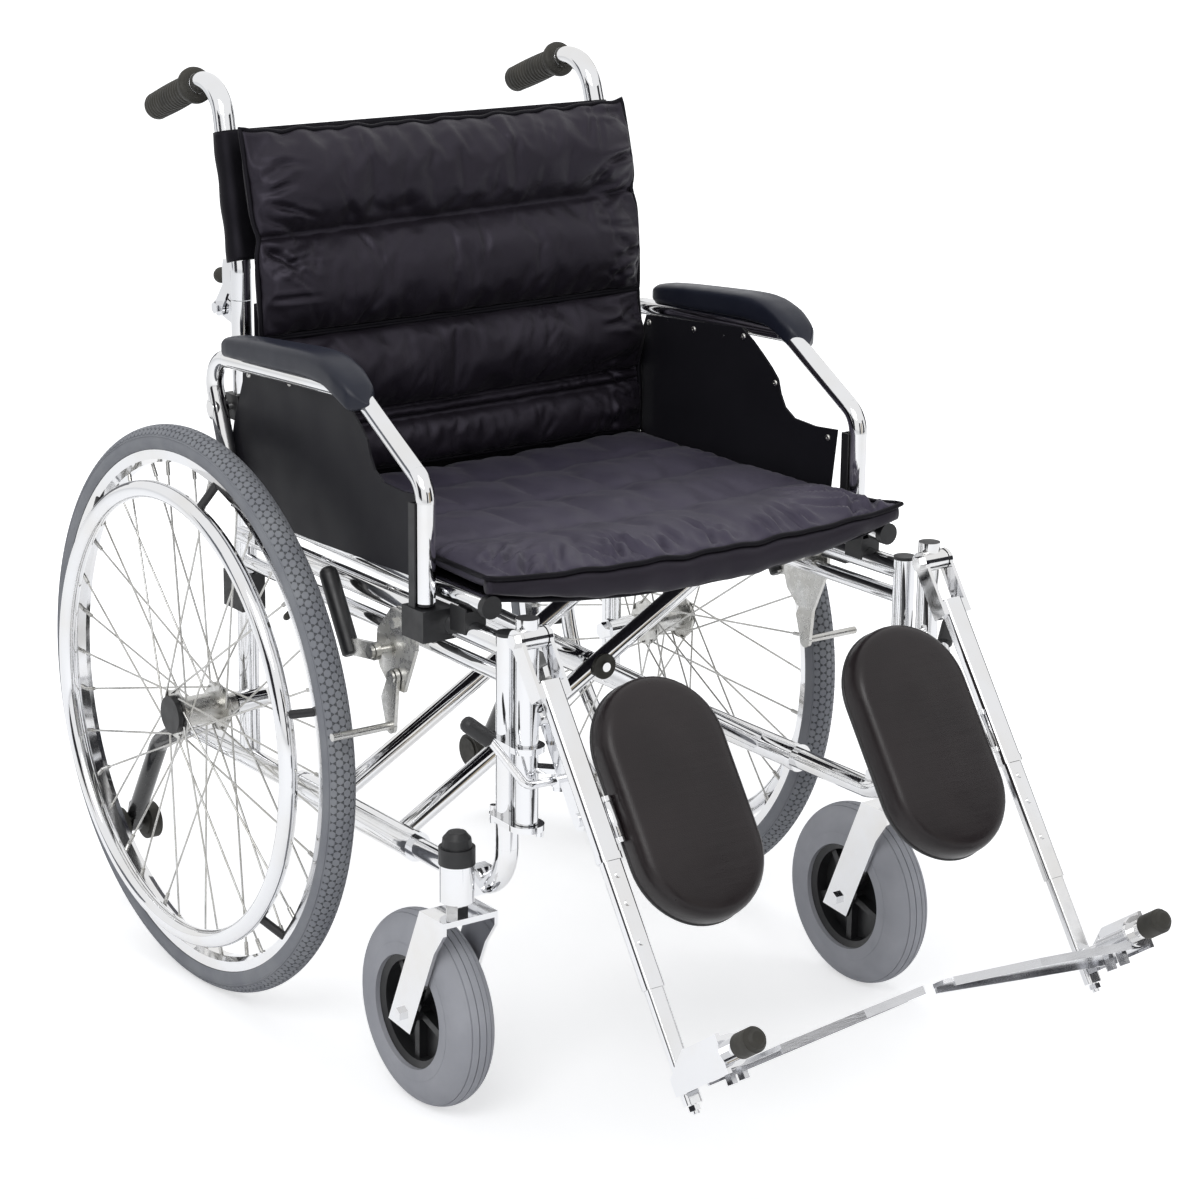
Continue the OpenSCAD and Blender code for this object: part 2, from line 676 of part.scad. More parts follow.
module foot_plate() color(chrome) in_leg() difference() {
  union() {
    translate([0, -34, foot_z]) rotate([90, 0, 0]) cylinder(h = 50, d = 16);
    box([-7, 7], [-83.2, -34.8], [foot_z - 14, foot_z - 4]);
    // the plate slopes up a little towards its inner end
    translate([0, 0, foot_z - 16]) rotate([0, 5, 0]) {
      linear_extrude(4) polygon([[4, -40], [4, -84.6],
        [-26, -84.6], [-34, -112], [-140, -104], [-229, -84],
        [-236, -76], [-236, -60], [-229, -52], [-120, -44]]);
      // turned-down edges
      translate([0, 0, -4]) linear_extrude(6) polygon([[-34, -112],
        [-140, -104], [-229, -84], [-229, -81], [-140, -101],
        [-34, -109]]);
      translate([0, 0, -4]) linear_extrude(6) polygon([[4, -40],
        [-120, -44], [-229, -52], [-229, -55], [-120, -47], [4, -43]]);
    }
    for (y = [-52, -72]) translate([-14, y, foot_z - 26])
      cylinder(h = 14, d = 11, $fn = 6);
  }
  translate([0, -30, foot_z]) rotate([90, 0, 0])
    cylinder(h = 60, d = 10 + 2 * slide_gap);
}

// Calf pad: a padded capsule with a crowned face on a hard shell.
module calf_pad() color(leather) in_leg() difference() {
  r = pad_w / 2;
  c = [-26 - r, 0];
  a = -59 - r;
  b = -59 - pad_len + r;
  union() {
    // shell
    translate([0, 12, 0]) rotate([90, 0, 0]) linear_extrude(12)
      capsule([c[0], a], [c[0], b], r - 2);
    // cushion edge with a round border
    translate([0, 6, 0]) rotate([90, 0, 0]) linear_extrude(22)
      capsule([c[0], a], [c[0], b], r - 8);
    for (z = [a, b]) translate([c[0], -6, z]) rotate([90, 0, 0])
      rotate_extrude() translate([r - 8, 0]) circle(r = 8);
    for (s = [-1, 1]) translate([c[0] + s * (r - 8), -6, b])
      cylinder(h = a - b, r = 8);
    // crown
    intersection() {
      translate([0, 0, 0]) rotate([90, 0, 0]) linear_extrude(24)
        capsule([c[0], a], [c[0], b], r - 9);
      translate([c[0], -24 + 160, -300 - 50]) cylinder(h = 400, r = 160,
        $fn = 96);
      translate([c[0] - 100, -24 + 700, (a + b) / 2]) rotate([0, 90, 0])
        cylinder(h = 200, r = 700, $fn = 96);
    }
    // hinge sleeve and arm
    translate([-19.5, 0, -200.6]) cylinder(h = 34.2, d = 12);
    box([-42, -19.5], [1, 6], [-198, -169]);
    box([-60, -34], [5, 15], [-198, -169]);
  }
  translate([-19.5, 0, -210]) cylinder(h = 50, d = 6 + 2 * slide_gap);
}

// ---- anti-tipper ----

module anti_tipper() color(black) place() difference() {
  union() {
    color(steel) long_pin(side_x, 56, 116, low_z, 16);
    bent_tube([[side_x, 113, low_z], [side_x, 134, low_z],
      [side_x, 206, 200], [side_x, 268, 96]], 24, 21);
    link(side_x - 6, 12, [266, 104], [275, 82], 9);
  }
  cross_pin(side_x - 20, side_x + 20, 275, 82, 8 + 2 * slide_gap);
}

module tipper_wheels() color(rubber) place() {
  for (s = [-1, 1]) translate([side_x + s * 20, 275, 82])
    rotate([0, 90, 0]) {
      cylinder(h = 13, d = 42, center = true);
      cylinder(h = 17, d = 32, center = true);
    }
  cross_pin(side_x - 22, side_x + 22, 275, 82, 8);
}

// ---- folding cross brace ----

// One half of the brace, its sleeve on the left rail and its seat rail
// above the right one. The tubes' places along the chair are given.
module brace(places, bolts) {
  difference() {
    union() {
      long_pin(side_x, -325.4, -114.6, low_z, 29);
      for (y = places) bar([side_x, y, low_z], [-side_x, y, seat_z],
        brace_d);
      long_pin(-side_x, -458, -14, seat_z, seat_rail_d);
    }
    long_pin(side_x, -340, -100, low_z, tube_d + 2 * slide_gap);
    if (!bolts) for (y = places)
      long_pin(0, y - 20, y + 20, low_z + rise / 2, 10 + 2 * slide_gap);
  }
  color(black) long_pin(-side_x, -466, -458.2, seat_z,
    seat_rail_d + 3);
  if (bolts) for (y = places) {
    long_pin(0, y - pair_step - 18, y + 14, low_z + rise / 2, 10);
    long_pin(0, y - 14.5, y - 11.5, low_z + rise / 2, 18);
    color(black) long_pin(0, y - pair_step - 15,
      y - pair_step - brace_d / 2 - 0.6, low_z + rise / 2, 27);
    translate([0, y + 11, low_z + rise / 2]) rotate([-90, 0, 0])
      cylinder(h = 6, d = 17, $fn = 6);
  }
}

module brace_one() color(chrome) place()
  brace([pair_y[0] + pair_step, pair_y[1] + pair_step], true);

module brace_two() color(chrome) place() right() brace(pair_y, false);

// ---- cloth ----

module seat_sling() color(cloth) place() {
  sag = 24;
  r = (side_x * side_x + sag * sag) / (2 * sag);
  translate([0, -22, 0]) rotate([90, 0, 0]) {
    linear_extrude(435.6) intersection() {
      translate([0, seat_z + 10.6 - sag + 3 + r]) difference() {
        circle(r = r + 3, $fn = 200);
        circle(r = r, $fn = 200);
      }
      translate([-side_x - 1, seat_z - 30]) square([2 * side_x + 2, 60]);
    }
    // rolled front hem
    translate([0, 0, 414]) linear_extrude(26) intersection() {
      translate([0, seat_z + 10.6 - sag + 3 + r]) difference() {
        circle(r = r + 17, $fn = 200);
        circle(r = r, $fn = 200);
      }
      translate([-side_x + 24, seat_z - 40])
        square([2 * side_x - 48, 80]);
    }
  }
}

// A padded cloth cushion: w wide, h long, t thick at its crown. Its sides
// draw in between the corners, and dips are sewn channels across it,
// each [place from 0 to 1, depth from 0 to 1].
module cushion(w, h, t, nx, nz, dips, sag = 0, edge = 0.17) {
  function dip(v) = 1 - max([for (d = dips) d[1]
    * exp(-pow((v - d[0]) * h / 9, 2))]);
  function rim_fall(u) = pow(max(0, 1 - pow(abs(u), 5)), 0.5);
  function px(u, v) = w / 2 * u * (1 - 0.018 * (1 - pow(2 * v - 1, 2)));
  function pz(u, v) = h * v + (0.5 - v) * 2 * 5 * (1 - u * u);
  function base(u) = sag * u * u;
  top = [for (j = [0:nz]) for (i = [0:nx]) let(
    u = -cos(180 * i / nx), v = (1 - cos(180 * j / nz)) / 2 * 0.3
      + 0.7 * j / nz, k = rim_fall(u) * rim_fall(2 * v - 1))
    [px(u, v), -t * k * dip(v) - edge * t * (1 - k) - base(u),
      pz(u, v)]];
  low = [for (j = [0:nz]) for (i = [0:nx]) let(
    u = -cos(180 * i / nx), v = (1 - cos(180 * j / nz)) / 2 * 0.3
      + 0.7 * j / nz, k = rim_fall(u) * rim_fall(2 * v - 1))
    [px(u, v), -0.1 * t * (1 - k) - base(u), pz(u, v)]];
  m = nx + 1;
  n = (nx + 1) * (nz + 1);
  ring = concat([for (i = [0:nx - 1]) i],
    [for (j = [0:nz - 1]) j * m + nx],
    [for (i = [nx:-1:1]) nz * m + i], [for (j = [nz:-1:1]) j * m]);
  rc = len(ring);
  polyhedron(concat(top, low), concat(
    [for (j = [0:nz - 1]) for (i = [0:nx - 1]) each [
      [j * m + i, j * m + i + 1, (j + 1) * m + i + 1],
      [j * m + i, (j + 1) * m + i + 1, (j + 1) * m + i]]],
    [for (j = [0:nz - 1]) for (i = [0:nx - 1]) each [
      [n + j * m + i, n + (j + 1) * m + i + 1, n + j * m + i + 1],
      [n + j * m + i, n + (j + 1) * m + i, n + (j + 1) * m + i + 1]]],
    [for (q = [0:rc - 1]) each [
      [ring[q], n + ring[q], n + ring[(q + 1) % rc]],
      [ring[q], n + ring[(q + 1) % rc], ring[(q + 1) % rc]]]]));
}

module seat_cushion() color(cloth) place()
  translate([0, -14, seat_z - 10]) rotate([90, 0, 0])
  mirror([0, 1, 0]) cushion(seat_w, 458, seat_t, 18, 22, [[0.10, 0.3],
    [0.38, 0.3], [0.68, 0.3]], 25);

module back_cushion_lower() color(cloth) place()
  translate([0, -8.8, 552])
  cushion(back_w, 148, back_t, 16, 20, [[0.30, 0.5], [0.40, 0.5]],
    edge = 0.5);

module back_cushion_upper() color(cloth) place()
  translate([0, -8, 775]) rotate([-13, 0, 0])
  translate([0, -0.5, -72])
  cushion(back_w, 214, back_t + 2, 16, 20, [[0.48, 0.5]], edge = 0.5);

module back_sling_lower() color(cloth) place()
  box([-post_x + 3, post_x - 3], [-8.4, -5.4], [503, 736]);

module back_sling_upper() color(cloth) place() difference() {
  union() {
    cane_line(cane_d + 5, 8, 140);
    right() cane_line(cane_d + 5, 8, 140);
    translate([0, post_y, 772]) rotate([-15, 0, 0])
      box([-post_x, post_x], [-13.5, -10.5], [8, 139]);
  }
  cane_line(cane_d + 0.4, -10, 160);
  right() cane_line(cane_d + 0.4, -10, 160);
}

// ---- the chosen piece, or all of them ----

side_frame();  // side_frame_left
right() side_frame();  // side_frame_right
frame_trim();  // frame_trim_left
right() frame_trim();  // frame_trim_right
rear_hub();  // rear_hub_left
right() rear_hub();  // rear_hub_right
spokes();  // spokes_left
right() spokes();  // spokes_right
rim();  // rim_left
right() rim();  // rim_right
tyre();  // tyre_left
right() tyre();  // tyre_right
push_rim();  // push_rim_left
right() push_rim();  // push_rim_right
caster_fork();  // caster_fork_left
right() caster_fork();  // caster_fork_right
caster_hub();  // caster_hub_left
right() caster_hub();  // caster_hub_right
caster_tyre();  // caster_tyre_left
right() caster_tyre();  // caster_tyre_right
arm_tube();  // arm_tube_left
right() arm_tube();  // arm_tube_right
arm_pad();  // arm_pad_left
right() arm_pad();  // arm_pad_right
side_panel();  // side_panel_left
right() side_panel();  // side_panel_right
back_cane();  // back_cane_left
right() back_cane();  // back_cane_right
push_grip();  // push_grip_left
right() push_grip();  // push_grip_right
brake_bracket();  // brake_bracket_left
right() brake_bracket();  // brake_bracket_right
brake_handle();  // brake_handle_left
right() brake_handle();  // brake_handle_right
brake_shoe();  // brake_shoe_left
right() brake_shoe();  // brake_shoe_right
leg_hanger();  // leg_hanger_left
right() leg_hanger();  // leg_hanger_right
hanger_latch();  // hanger_latch_left
right() hanger_latch();  // hanger_latch_right
leg_bar();  // leg_bar_left
right() leg_bar();  // leg_bar_right
leg_slide();  // leg_slide_left
right() leg_slide();  // leg_slide_right
calf_pad();  // calf_pad_left
right() calf_pad();  // calf_pad_right
foot_plate();  // foot_plate_left
right() foot_plate();  // foot_plate_right
anti_tipper();  // anti_tipper_left
right() anti_tipper();  // anti_tipper_right
tipper_wheels();  // tipper_wheels_left
right() tipper_wheels();  // tipper_wheels_right
brace_one();
brace_two();
seat_sling();
seat_cushion();
back_sling_upper();
back_sling_lower();
back_cushion_upper();
back_cushion_lower();
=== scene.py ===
import math
import random
from dataclasses import dataclass

import bpy
import numpy as np
from mathutils import Matrix, Vector


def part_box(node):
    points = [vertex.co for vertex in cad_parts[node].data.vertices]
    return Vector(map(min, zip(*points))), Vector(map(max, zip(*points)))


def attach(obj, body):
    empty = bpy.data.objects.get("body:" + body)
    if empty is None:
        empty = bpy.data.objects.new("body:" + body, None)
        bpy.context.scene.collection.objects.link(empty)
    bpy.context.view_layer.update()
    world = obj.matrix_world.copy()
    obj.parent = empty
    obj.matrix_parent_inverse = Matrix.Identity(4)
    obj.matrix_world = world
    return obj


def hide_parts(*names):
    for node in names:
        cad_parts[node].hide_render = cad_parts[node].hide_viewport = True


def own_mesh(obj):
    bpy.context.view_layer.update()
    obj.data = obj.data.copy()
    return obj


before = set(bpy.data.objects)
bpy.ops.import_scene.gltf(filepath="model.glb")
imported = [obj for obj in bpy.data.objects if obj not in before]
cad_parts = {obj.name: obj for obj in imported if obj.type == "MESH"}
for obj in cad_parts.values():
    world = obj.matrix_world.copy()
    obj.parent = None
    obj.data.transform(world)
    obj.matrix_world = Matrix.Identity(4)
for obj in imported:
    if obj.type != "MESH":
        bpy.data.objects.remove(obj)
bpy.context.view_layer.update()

COLLECTION = bpy.context.scene.collection
SIDES = (("left", 1), ("right", -1))

# Driving sizes, in metres. The rear axle stands AXLE_Y behind the origin.
# Tables of whole numbers are in millimetres, with Y from the rear axle.
AXLE_Y = 0.292
SIDE_X = 0.245
SEAT_Z = 0.520
ARM_X = 0.2675
TYRE_LOW, TYRE_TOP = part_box("tyre_left")
TYRE_RADIUS = (TYRE_TOP[2] - TYRE_LOW[2]) / 2
WHEEL_X = (TYRE_TOP[0] + TYRE_LOW[0]) / 2
WHEEL_Z = (TYRE_TOP[2] + TYRE_LOW[2]) / 2
RIM_RADIUS = TYRE_RADIUS - 0.0395
LEG_ANGLE = math.radians(34.6)
LEG_TOP = Vector((0.2466, AXLE_Y - 0.533, 0.507))


# ---- shader nodes ----

def set_sockets(tree, node, sockets):
    """Sets each socket to a value, or links it from an output."""
    for key, value in sockets.items():
        if isinstance(value, bpy.types.NodeSocket):
            tree.links.new(value, node.inputs[key])
        else:
            node.inputs[key].default_value = value


def add_node(tree, kind, sockets, **settings):
    made = tree.nodes.new("ShaderNode" + kind)
    for name, value in settings.items():
        setattr(made, name, value)
    set_sockets(tree, made, sockets)
    return made


def new_material(name, **sockets):
    """A material, its node tree and its principled shader."""
    material = bpy.data.materials.new(name)
    material.use_nodes = True
    tree = material.node_tree
    shader = tree.nodes["Principled BSDF"]
    set_sockets(tree, shader, {key.replace("_", " "): value
                               for key, value in sockets.items()})
    return material, tree, shader


# ---- materials ----

def noise(scale, detail, stretch=(1, 1, 1)):
    return "TexNoise", "Fac", {"Scale": scale, "Detail": detail}, stretch


def cells(scale):
    return "TexVoronoi", "Distance", {"Scale": scale}


def threads(direction):
    """The threads of a tight weave that cross an axis."""
    return "TexWave", "Fac", {"Scale": 900}, (1, 1, 1), direction


def paint(name, colour, roughness, rough, tint, bumps, metallic=0.0,
          **sockets):
    """A procedural material. rough is (texture, low, high), tint is
    (texture, other colour) with the range of the texture that blends
    them, and each bump is (texture, strength, distance)."""
    material, tree, shader = new_material(
        name, Base_Color=(*colour, 1), Roughness=roughness,
        Metallic=metallic, **sockets)
    coords = add_node(tree, "TexCoord", {}).outputs["Object"]

    def pattern(kind, output, values, stretch=(1, 1, 1), direction=None):
        mapping = add_node(tree, "Mapping",
                           {"Vector": coords, "Scale": stretch})
        made = add_node(tree, kind,
                        {"Vector": mapping.outputs["Vector"], **values})
        if direction:
            made.bands_direction = direction
        return made.outputs[output]

    def ramp(texture, low, high, start=0.3, end=0.7):
        return add_node(tree, "MapRange", {
            "Value": pattern(*texture), "From Min": start, "From Max": end,
            "To Min": low, "To Max": high}).outputs["Result"]

    set_sockets(tree, shader, {"Roughness": ramp(*rough)})
    if tint:
        texture, other, *span = tint
        mix = add_node(tree, "Mix", {
            0: ramp(texture, 0, 1, *span), 6: (*colour, 1),
            7: (*other, 1)}, data_type="RGBA")
        set_sockets(tree, shader, {"Base Color": mix.outputs[2]})
    normal = {}
    for texture, strength, distance in bumps:
        made = add_node(tree, "Bump", {
            "Height": pattern(*texture), "Strength": strength,
            "Distance": distance, **normal})
        normal = {"Normal": made.outputs["Normal"]}
    set_sockets(tree, shader, normal)
    return material


def tyre_paint(name, colour, other):
    return paint(name, colour, 0.72, (noise(90, 5), 0.62, 0.82),
                 (noise(22, 5), other, 0.35, 0.7),
                 [(noise(1100, 3), 0.14, 0.0004)])


def cloth_paint(name, colour, other, across, along, shine, sheen):
    """A tight nylon weave whose threads cross two axes."""
    return paint(name, colour, 0.5, (noise(26, 4), 0.40, 0.58),
                 (noise(11, 4), other, 0.35, 0.7),
                 [(threads(across), 0.10, 0.0003),
                  (threads(along), 0.10, 0.0003),
                  (noise(140, 5), 0.16, 0.0010)],
                 Sheen_Weight=sheen, Sheen_Roughness=0.35,
                 Specular_IOR_Level=shine,
                 Specular_Tint=(0.86, 0.80, 1, 1))


CHROME = paint(
    "chrome_plate", (0.80, 0.805, 0.82), 0.06, (noise(60, 5), 0.035, 0.11),
    (noise(14, 4), (0.76, 0.75, 0.735), 0.45, 0.75),
    [(noise(9, 2), 0.10, 0.002)], 1.0)
ZINC = paint(
    "zinc_steel", (0.62, 0.62, 0.61), 0.3, (noise(140, 5), 0.18, 0.38),
    (noise(35, 4), (0.50, 0.49, 0.46)), [(noise(700, 3), 0.12, 0.001)], 1.0)
PLATE = paint(
    "polished_aluminium", (0.64, 0.645, 0.665), 0.14,
    (noise(90, 4, (0.2, 1, 1)), 0.14, 0.28), None,
    [(noise(420, 3, (0.1, 1, 1)), 0.05, 0.001)], 1.0)
ENAMEL = paint(
    "black_enamel", (0.012, 0.012, 0.013), 0.22, (noise(50, 4), 0.18, 0.32),
    None, [(noise(160, 3), 0.05, 0.001)], Coat_Weight=0.5, Coat_Roughness=0.08)
PLASTIC = paint(
    "black_plastic", (0.014, 0.014, 0.015), 0.4, (noise(80, 4), 0.34, 0.5),
    (noise(25, 3), (0.020, 0.020, 0.022)), [(cells(1500), 0.10, 0.0004)])
PANEL = paint(
    "panel_plastic", (0.0125, 0.0120, 0.0155), 0.40,
    (noise(30, 4), 0.34, 0.46), (noise(9, 3), (0.0160, 0.0155, 0.0195)),
    [(cells(1100), 0.12, 0.0004), (noise(7, 2), 0.25, 0.006)],
    Specular_IOR_Level=0.15)
RUBBER = paint(
    "black_rubber", (0.026, 0.025, 0.021), 0.62, (noise(120, 4), 0.52, 0.72),
    (noise(40, 4), (0.042, 0.039, 0.031)), [(noise(1600, 2), 0.14, 0.0004)])
ARM_FOAM = paint(
    "arm_foam", (0.0125, 0.0145, 0.026), 0.36, (noise(55, 4), 0.30, 0.42),
    (noise(18, 3), (0.019, 0.0215, 0.034)), [(cells(1300), 0.16, 0.0004)],
    Specular_IOR_Level=0.32)
GREY_TYRE = tyre_paint(
    "grey_tyre", (0.25, 0.258, 0.285), (0.31, 0.318, 0.34))
CASTER_TYRE = tyre_paint(
    "caster_tyre", (0.39, 0.395, 0.43), (0.45, 0.455, 0.49))
# painted shade: the tread band that shows between the raised blocks is
# coloured far darker than the tyre's grey rubber
GROOVE_PAINTED_SHADE = tyre_paint(
    "tyre_groove_painted_shade", (0.085, 0.09, 0.10), (0.11, 0.115, 0.12))
LEATHER = paint(
    "dark_leather", (0.013, 0.0095, 0.0105), 0.34, (noise(40, 4), 0.27, 0.40),
    (noise(12, 4), (0.021, 0.0155, 0.0165)),
    [(cells(900), 0.20, 0.0004), (noise(60, 5, (0.25, 1, 2.2)), 0.22, 0.0012)],
    Specular_IOR_Level=0.36)
BACK_CLOTH = cloth_paint(
    "back_nylon", (0.0085, 0.0068, 0.0100), (0.0125, 0.0100, 0.0145), "X", "Z",
    0.42, 0.07)
# painted sheen: the seat's nylon is coloured about four times lighter than the
# back's nylon, over the cloth's own violet tone
SEAT_CLOTH_AND_PAINTED_SHEEN = cloth_paint(
    "seat_nylon_and_painted_sheen", (0.034, 0.0295, 0.047), (0.043, 0.0375, 0.058), "X", "Y",
    0.5, 0.14)
SLING_CLOTH = cloth_paint(
    "sling_cloth", (0.0042, 0.0040, 0.0050), (0.0062, 0.0060, 0.0072), "X",
    "Z", 0.16, 0.0)


# ---- mesh helpers ----

def add_mesh(name, points, faces, material, body, smooth=True):
    mesh = bpy.data.meshes.new(name)
    mesh.from_pydata([tuple(p) for p in points], [],
                     [tuple(f) for f in faces])
    mesh.materials.append(material)
    mesh.update()
    for polygon in mesh.polygons:
        polygon.use_smooth = smooth
    made = bpy.data.objects.new(name, mesh)
    COLLECTION.objects.link(made)
    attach(made, body)
    return made


def skin(name, rings, material, body, closed=False, smooth=True):
    """A skin over rings of equal length. It closes on itself, or has a
    cap at each end."""
    n, count = len(rings[0]), len(rings)
    faces = []
    for k in range(count if closed else count - 1):
        a, b = k * n, (k + 1) % count * n
        for i in range(n):
            j = (i + 1) % n
            faces.append((a + i, a + j, b + j, b + i))
    if not closed:
        faces.append(tuple(range(n - 1, -1, -1)))
        faces.append(tuple((count - 1) * n + i for i in range(n)))
    return add_mesh(name, [p for ring in rings for p in ring], faces,
                    material, body, smooth)


def turns(count):
    """Evenly spaced angles round a full turn."""
    return np.linspace(0, 2 * math.pi, count, endpoint=False)


def circle(middle, u, v, radius, count):
    return [middle + radius * (u * math.cos(t) + v * math.sin(t))
            for t in turns(count)]


def frame_of(direction):
    """Two unit vectors square to a unit direction."""
    side = direction.cross(Vector((0, 0, 1)))
    if side.length < 0.05:
        side = direction.cross(Vector((1, 0, 0)))
    side.normalize()
    return side, side.cross(direction).normalized()


def turned(name, start, direction, profile, material, body, segments):
    """A turned piece: profile is a list of (distance along, radius)."""
    d = Vector(direction).normalized()
    rings = [circle(Vector(start) + d * along, *frame_of(d), radius,
                    segments) for along, radius in profile]
    return skin(name, rings, material, body)


def tube(name, path, radius, material, body, sides=10):
    """A round tube along a closed line of close points."""
    path = [Vector(p) for p in path]
    rings = []
    for k, p in enumerate(path):
        d = (path[(k + 1) % len(path)] - path[k - 1]).normalized()
        u = frame_of(d)[0] if k == 0 else (u - d * u.dot(d)).normalized()
        rings.append(circle(p, u, d.cross(u), radius, sides))
    return skin(name, rings, material, body, closed=True)


def screw(name, place, direction, radius, body):
    """A domed screw head with a cross recess, standing on a surface."""
    d = Vector(direction).normalized()
    u, v = frame_of(d)
    rings = []
    # heights and widths: the last two are the recess, a four-pointed star
    for h, w, notch in (
            (-0.4, 1.0, 1), (0.12, 1.0, 1), (0.34, 0.86, 1), (0.48, 0.6, 1),
            (0.52, 0.34, 1), (0.52, 0.3, 0.42), (0.2, 0.2, 0.42)):
        middle = Vector(place) + d * radius * h
        ring = circle(middle, u, v, radius * w, 24)
        rings.append([middle + (p - middle)
                      * (1 if i % 6 in (0, 1, 5) else notch)
                      for i, p in enumerate(ring)])
    skin(name, rings, ZINC, body)


def finish(node, main, *zones):
    """Gives a CAD node its material, and other ones where a test holds."""
    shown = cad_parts[node]
    mesh = shown.data
    while len(mesh.materials) < 1 + len(zones):
        mesh.materials.append(None)
    for slot, material in enumerate([main] + [z[0] for z in zones]):
        shown.material_slots[slot].link = "OBJECT"
        shown.material_slots[slot].material = material
    for polygon in mesh.polygons:
        polygon.material_index = 0
        for k, (_, test) in enumerate(zones):
            if test(polygon.center):
                polygon.material_index = k + 1
                break


# ---- camera, floor and light ----

def set_camera():
    """The camera that was fitted to the photograph."""
    photo_pixels, focal_pixels = 1200, 3239
    azimuth, elevation, roll = (math.radians(a)
                                for a in (-35.91, 16.06, 0.64))
    target, distance = Vector((-0.0018, -0.0111, 0.450)), 3.331
    away = Vector((math.sin(azimuth) * math.cos(elevation),
                   -math.cos(azimuth) * math.cos(elevation),
                   math.sin(elevation)))
    right = Vector((math.cos(azimuth), math.sin(azimuth), 0))
    up = away.cross(right)
    x = math.cos(roll) * right + math.sin(roll) * up
    y = -math.sin(roll) * right + math.cos(roll) * up
    data = bpy.data.cameras.new("camera")
    data.sensor_width = 36
    data.lens = focal_pixels / photo_pixels * data.sensor_width
    camera = bpy.data.objects.new("camera", data)
    COLLECTION.objects.link(camera)
    place = Matrix((x, y, away)).transposed().to_4x4()
    place.translation = target + away * distance
    camera.matrix_world = place
    bpy.context.scene.camera = camera


def background_rays(tree):
    """1 for camera, glossy and transmission rays, and otherwise 0."""
    path = add_node(tree, "LightPath", {}).outputs
    total = path["Is Camera Ray"]
    for name in ("Is Glossy Ray", "Is Transmission Ray"):
        total = add_node(tree, "Math", {0: total, 1: path[name]},
                         operation="MAXIMUM").outputs[0]
    return total


def set_world():
    world = bpy.data.worlds.new("studio")
    bpy.context.scene.world = world
    world.use_nodes = True
    tree = world.node_tree
    light = tree.nodes["Background"]
    set_sockets(tree, light, {"Color": (0.94, 0.97, 1.0, 1),
                              "Strength": 0.42})
    white = add_node(tree, "Background", {"Color": (1, 1, 1, 1),
                                          "Strength": 1.0})
    mix = add_node(tree, "MixShader", {
        0: background_rays(tree), 1: light.outputs[0],
        2: white.outputs[0]})
    set_sockets(tree, tree.nodes["World Output"], {0: mix.outputs[0]})


def add_stage(name, corners, material):
    """A flat piece of the stage with four corners."""
    mesh = bpy.data.meshes.new(name)
    mesh.from_pydata(corners, [], [(0, 1, 2, 3)])
    mesh.materials.append(material)
    made = bpy.data.objects.new(name, mesh)
    COLLECTION.objects.link(made)
    return made


def add_floor():
    size = 30
    material, tree, shader = new_material(
        "floor_white", Base_Color=(0.80, 0.80, 0.81, 1), Roughness=0.9,
        Specular_IOR_Level=0.0, Emission_Color=(1, 1, 1, 1))
    # the glow grows with the distance from the chair
    place = add_node(tree, "NewGeometry", {}).outputs["Position"]
    away = add_node(tree, "VectorMath", {0: place}, operation="LENGTH")
    grow = add_node(tree, "MapRange", {
        "Value": away.outputs["Value"], "From Min": 0.5, "From Max": 2.2,
        "To Min": 0.56, "To Max": 1.0})
    # what bright metal sees of the floor is a little darker
    seen = add_node(tree, "LightPath", {}).outputs["Is Camera Ray"]
    pick = add_node(tree, "Mix", {0: seen, 2: 0.5,
                                  3: grow.outputs["Result"]})
    glow = add_node(tree, "Math", {0: background_rays(tree),
                                   1: pick.outputs[0]},
                    operation="MULTIPLY")
    set_sockets(tree, shader, {"Emission Strength": glow.outputs[0]})
    add_stage("floor", [(-size, -size, 0), (size, -size, 0),
                        (size, size, 0), (-size, size, 0)], material)


def add_lamp(name, place, target_z, size, power, mirrored):
    """A lamp over the chair's middle. One that bright metal would show as
    a flat white patch isn't mirrored."""
    data = bpy.data.lights.new(name, "AREA")
    data.shape = "RECTANGLE"
    data.size, data.size_y = size
    data.energy = power
    lamp = bpy.data.objects.new(name, data)
    COLLECTION.objects.link(lamp)
    lamp.location = place
    lamp.visible_glossy = mirrored
    lamp.rotation_euler = (Vector((0, 0, target_z)) - Vector(place)
                           ).to_track_quat("-Z", "Y").to_euler()


def add_flag(name, azimuth, width, high, shade):
    """A glowing studio wall that only reflections show: a painted reflection
    in the bright metal.
    """
    distance = 6.0
    a = math.radians(azimuth)
    middle = Vector((math.sin(a), -math.cos(a), 0)) * distance
    side = Vector((math.cos(a), math.sin(a), 0)) * width / 2
    top = Vector((0, 0, high))
    material, _, _ = new_material(
        name, Base_Color=(0, 0, 0, 1), Specular_IOR_Level=0.0,
        Emission_Color=(*shade, 1), Emission_Strength=1.0)
    flag = add_stage(name, [middle - side, middle + side,
                            middle + side + top, middle - side + top],
                     material)
    flag.visible_camera = flag.visible_diffuse = False
    flag.visible_shadow = False


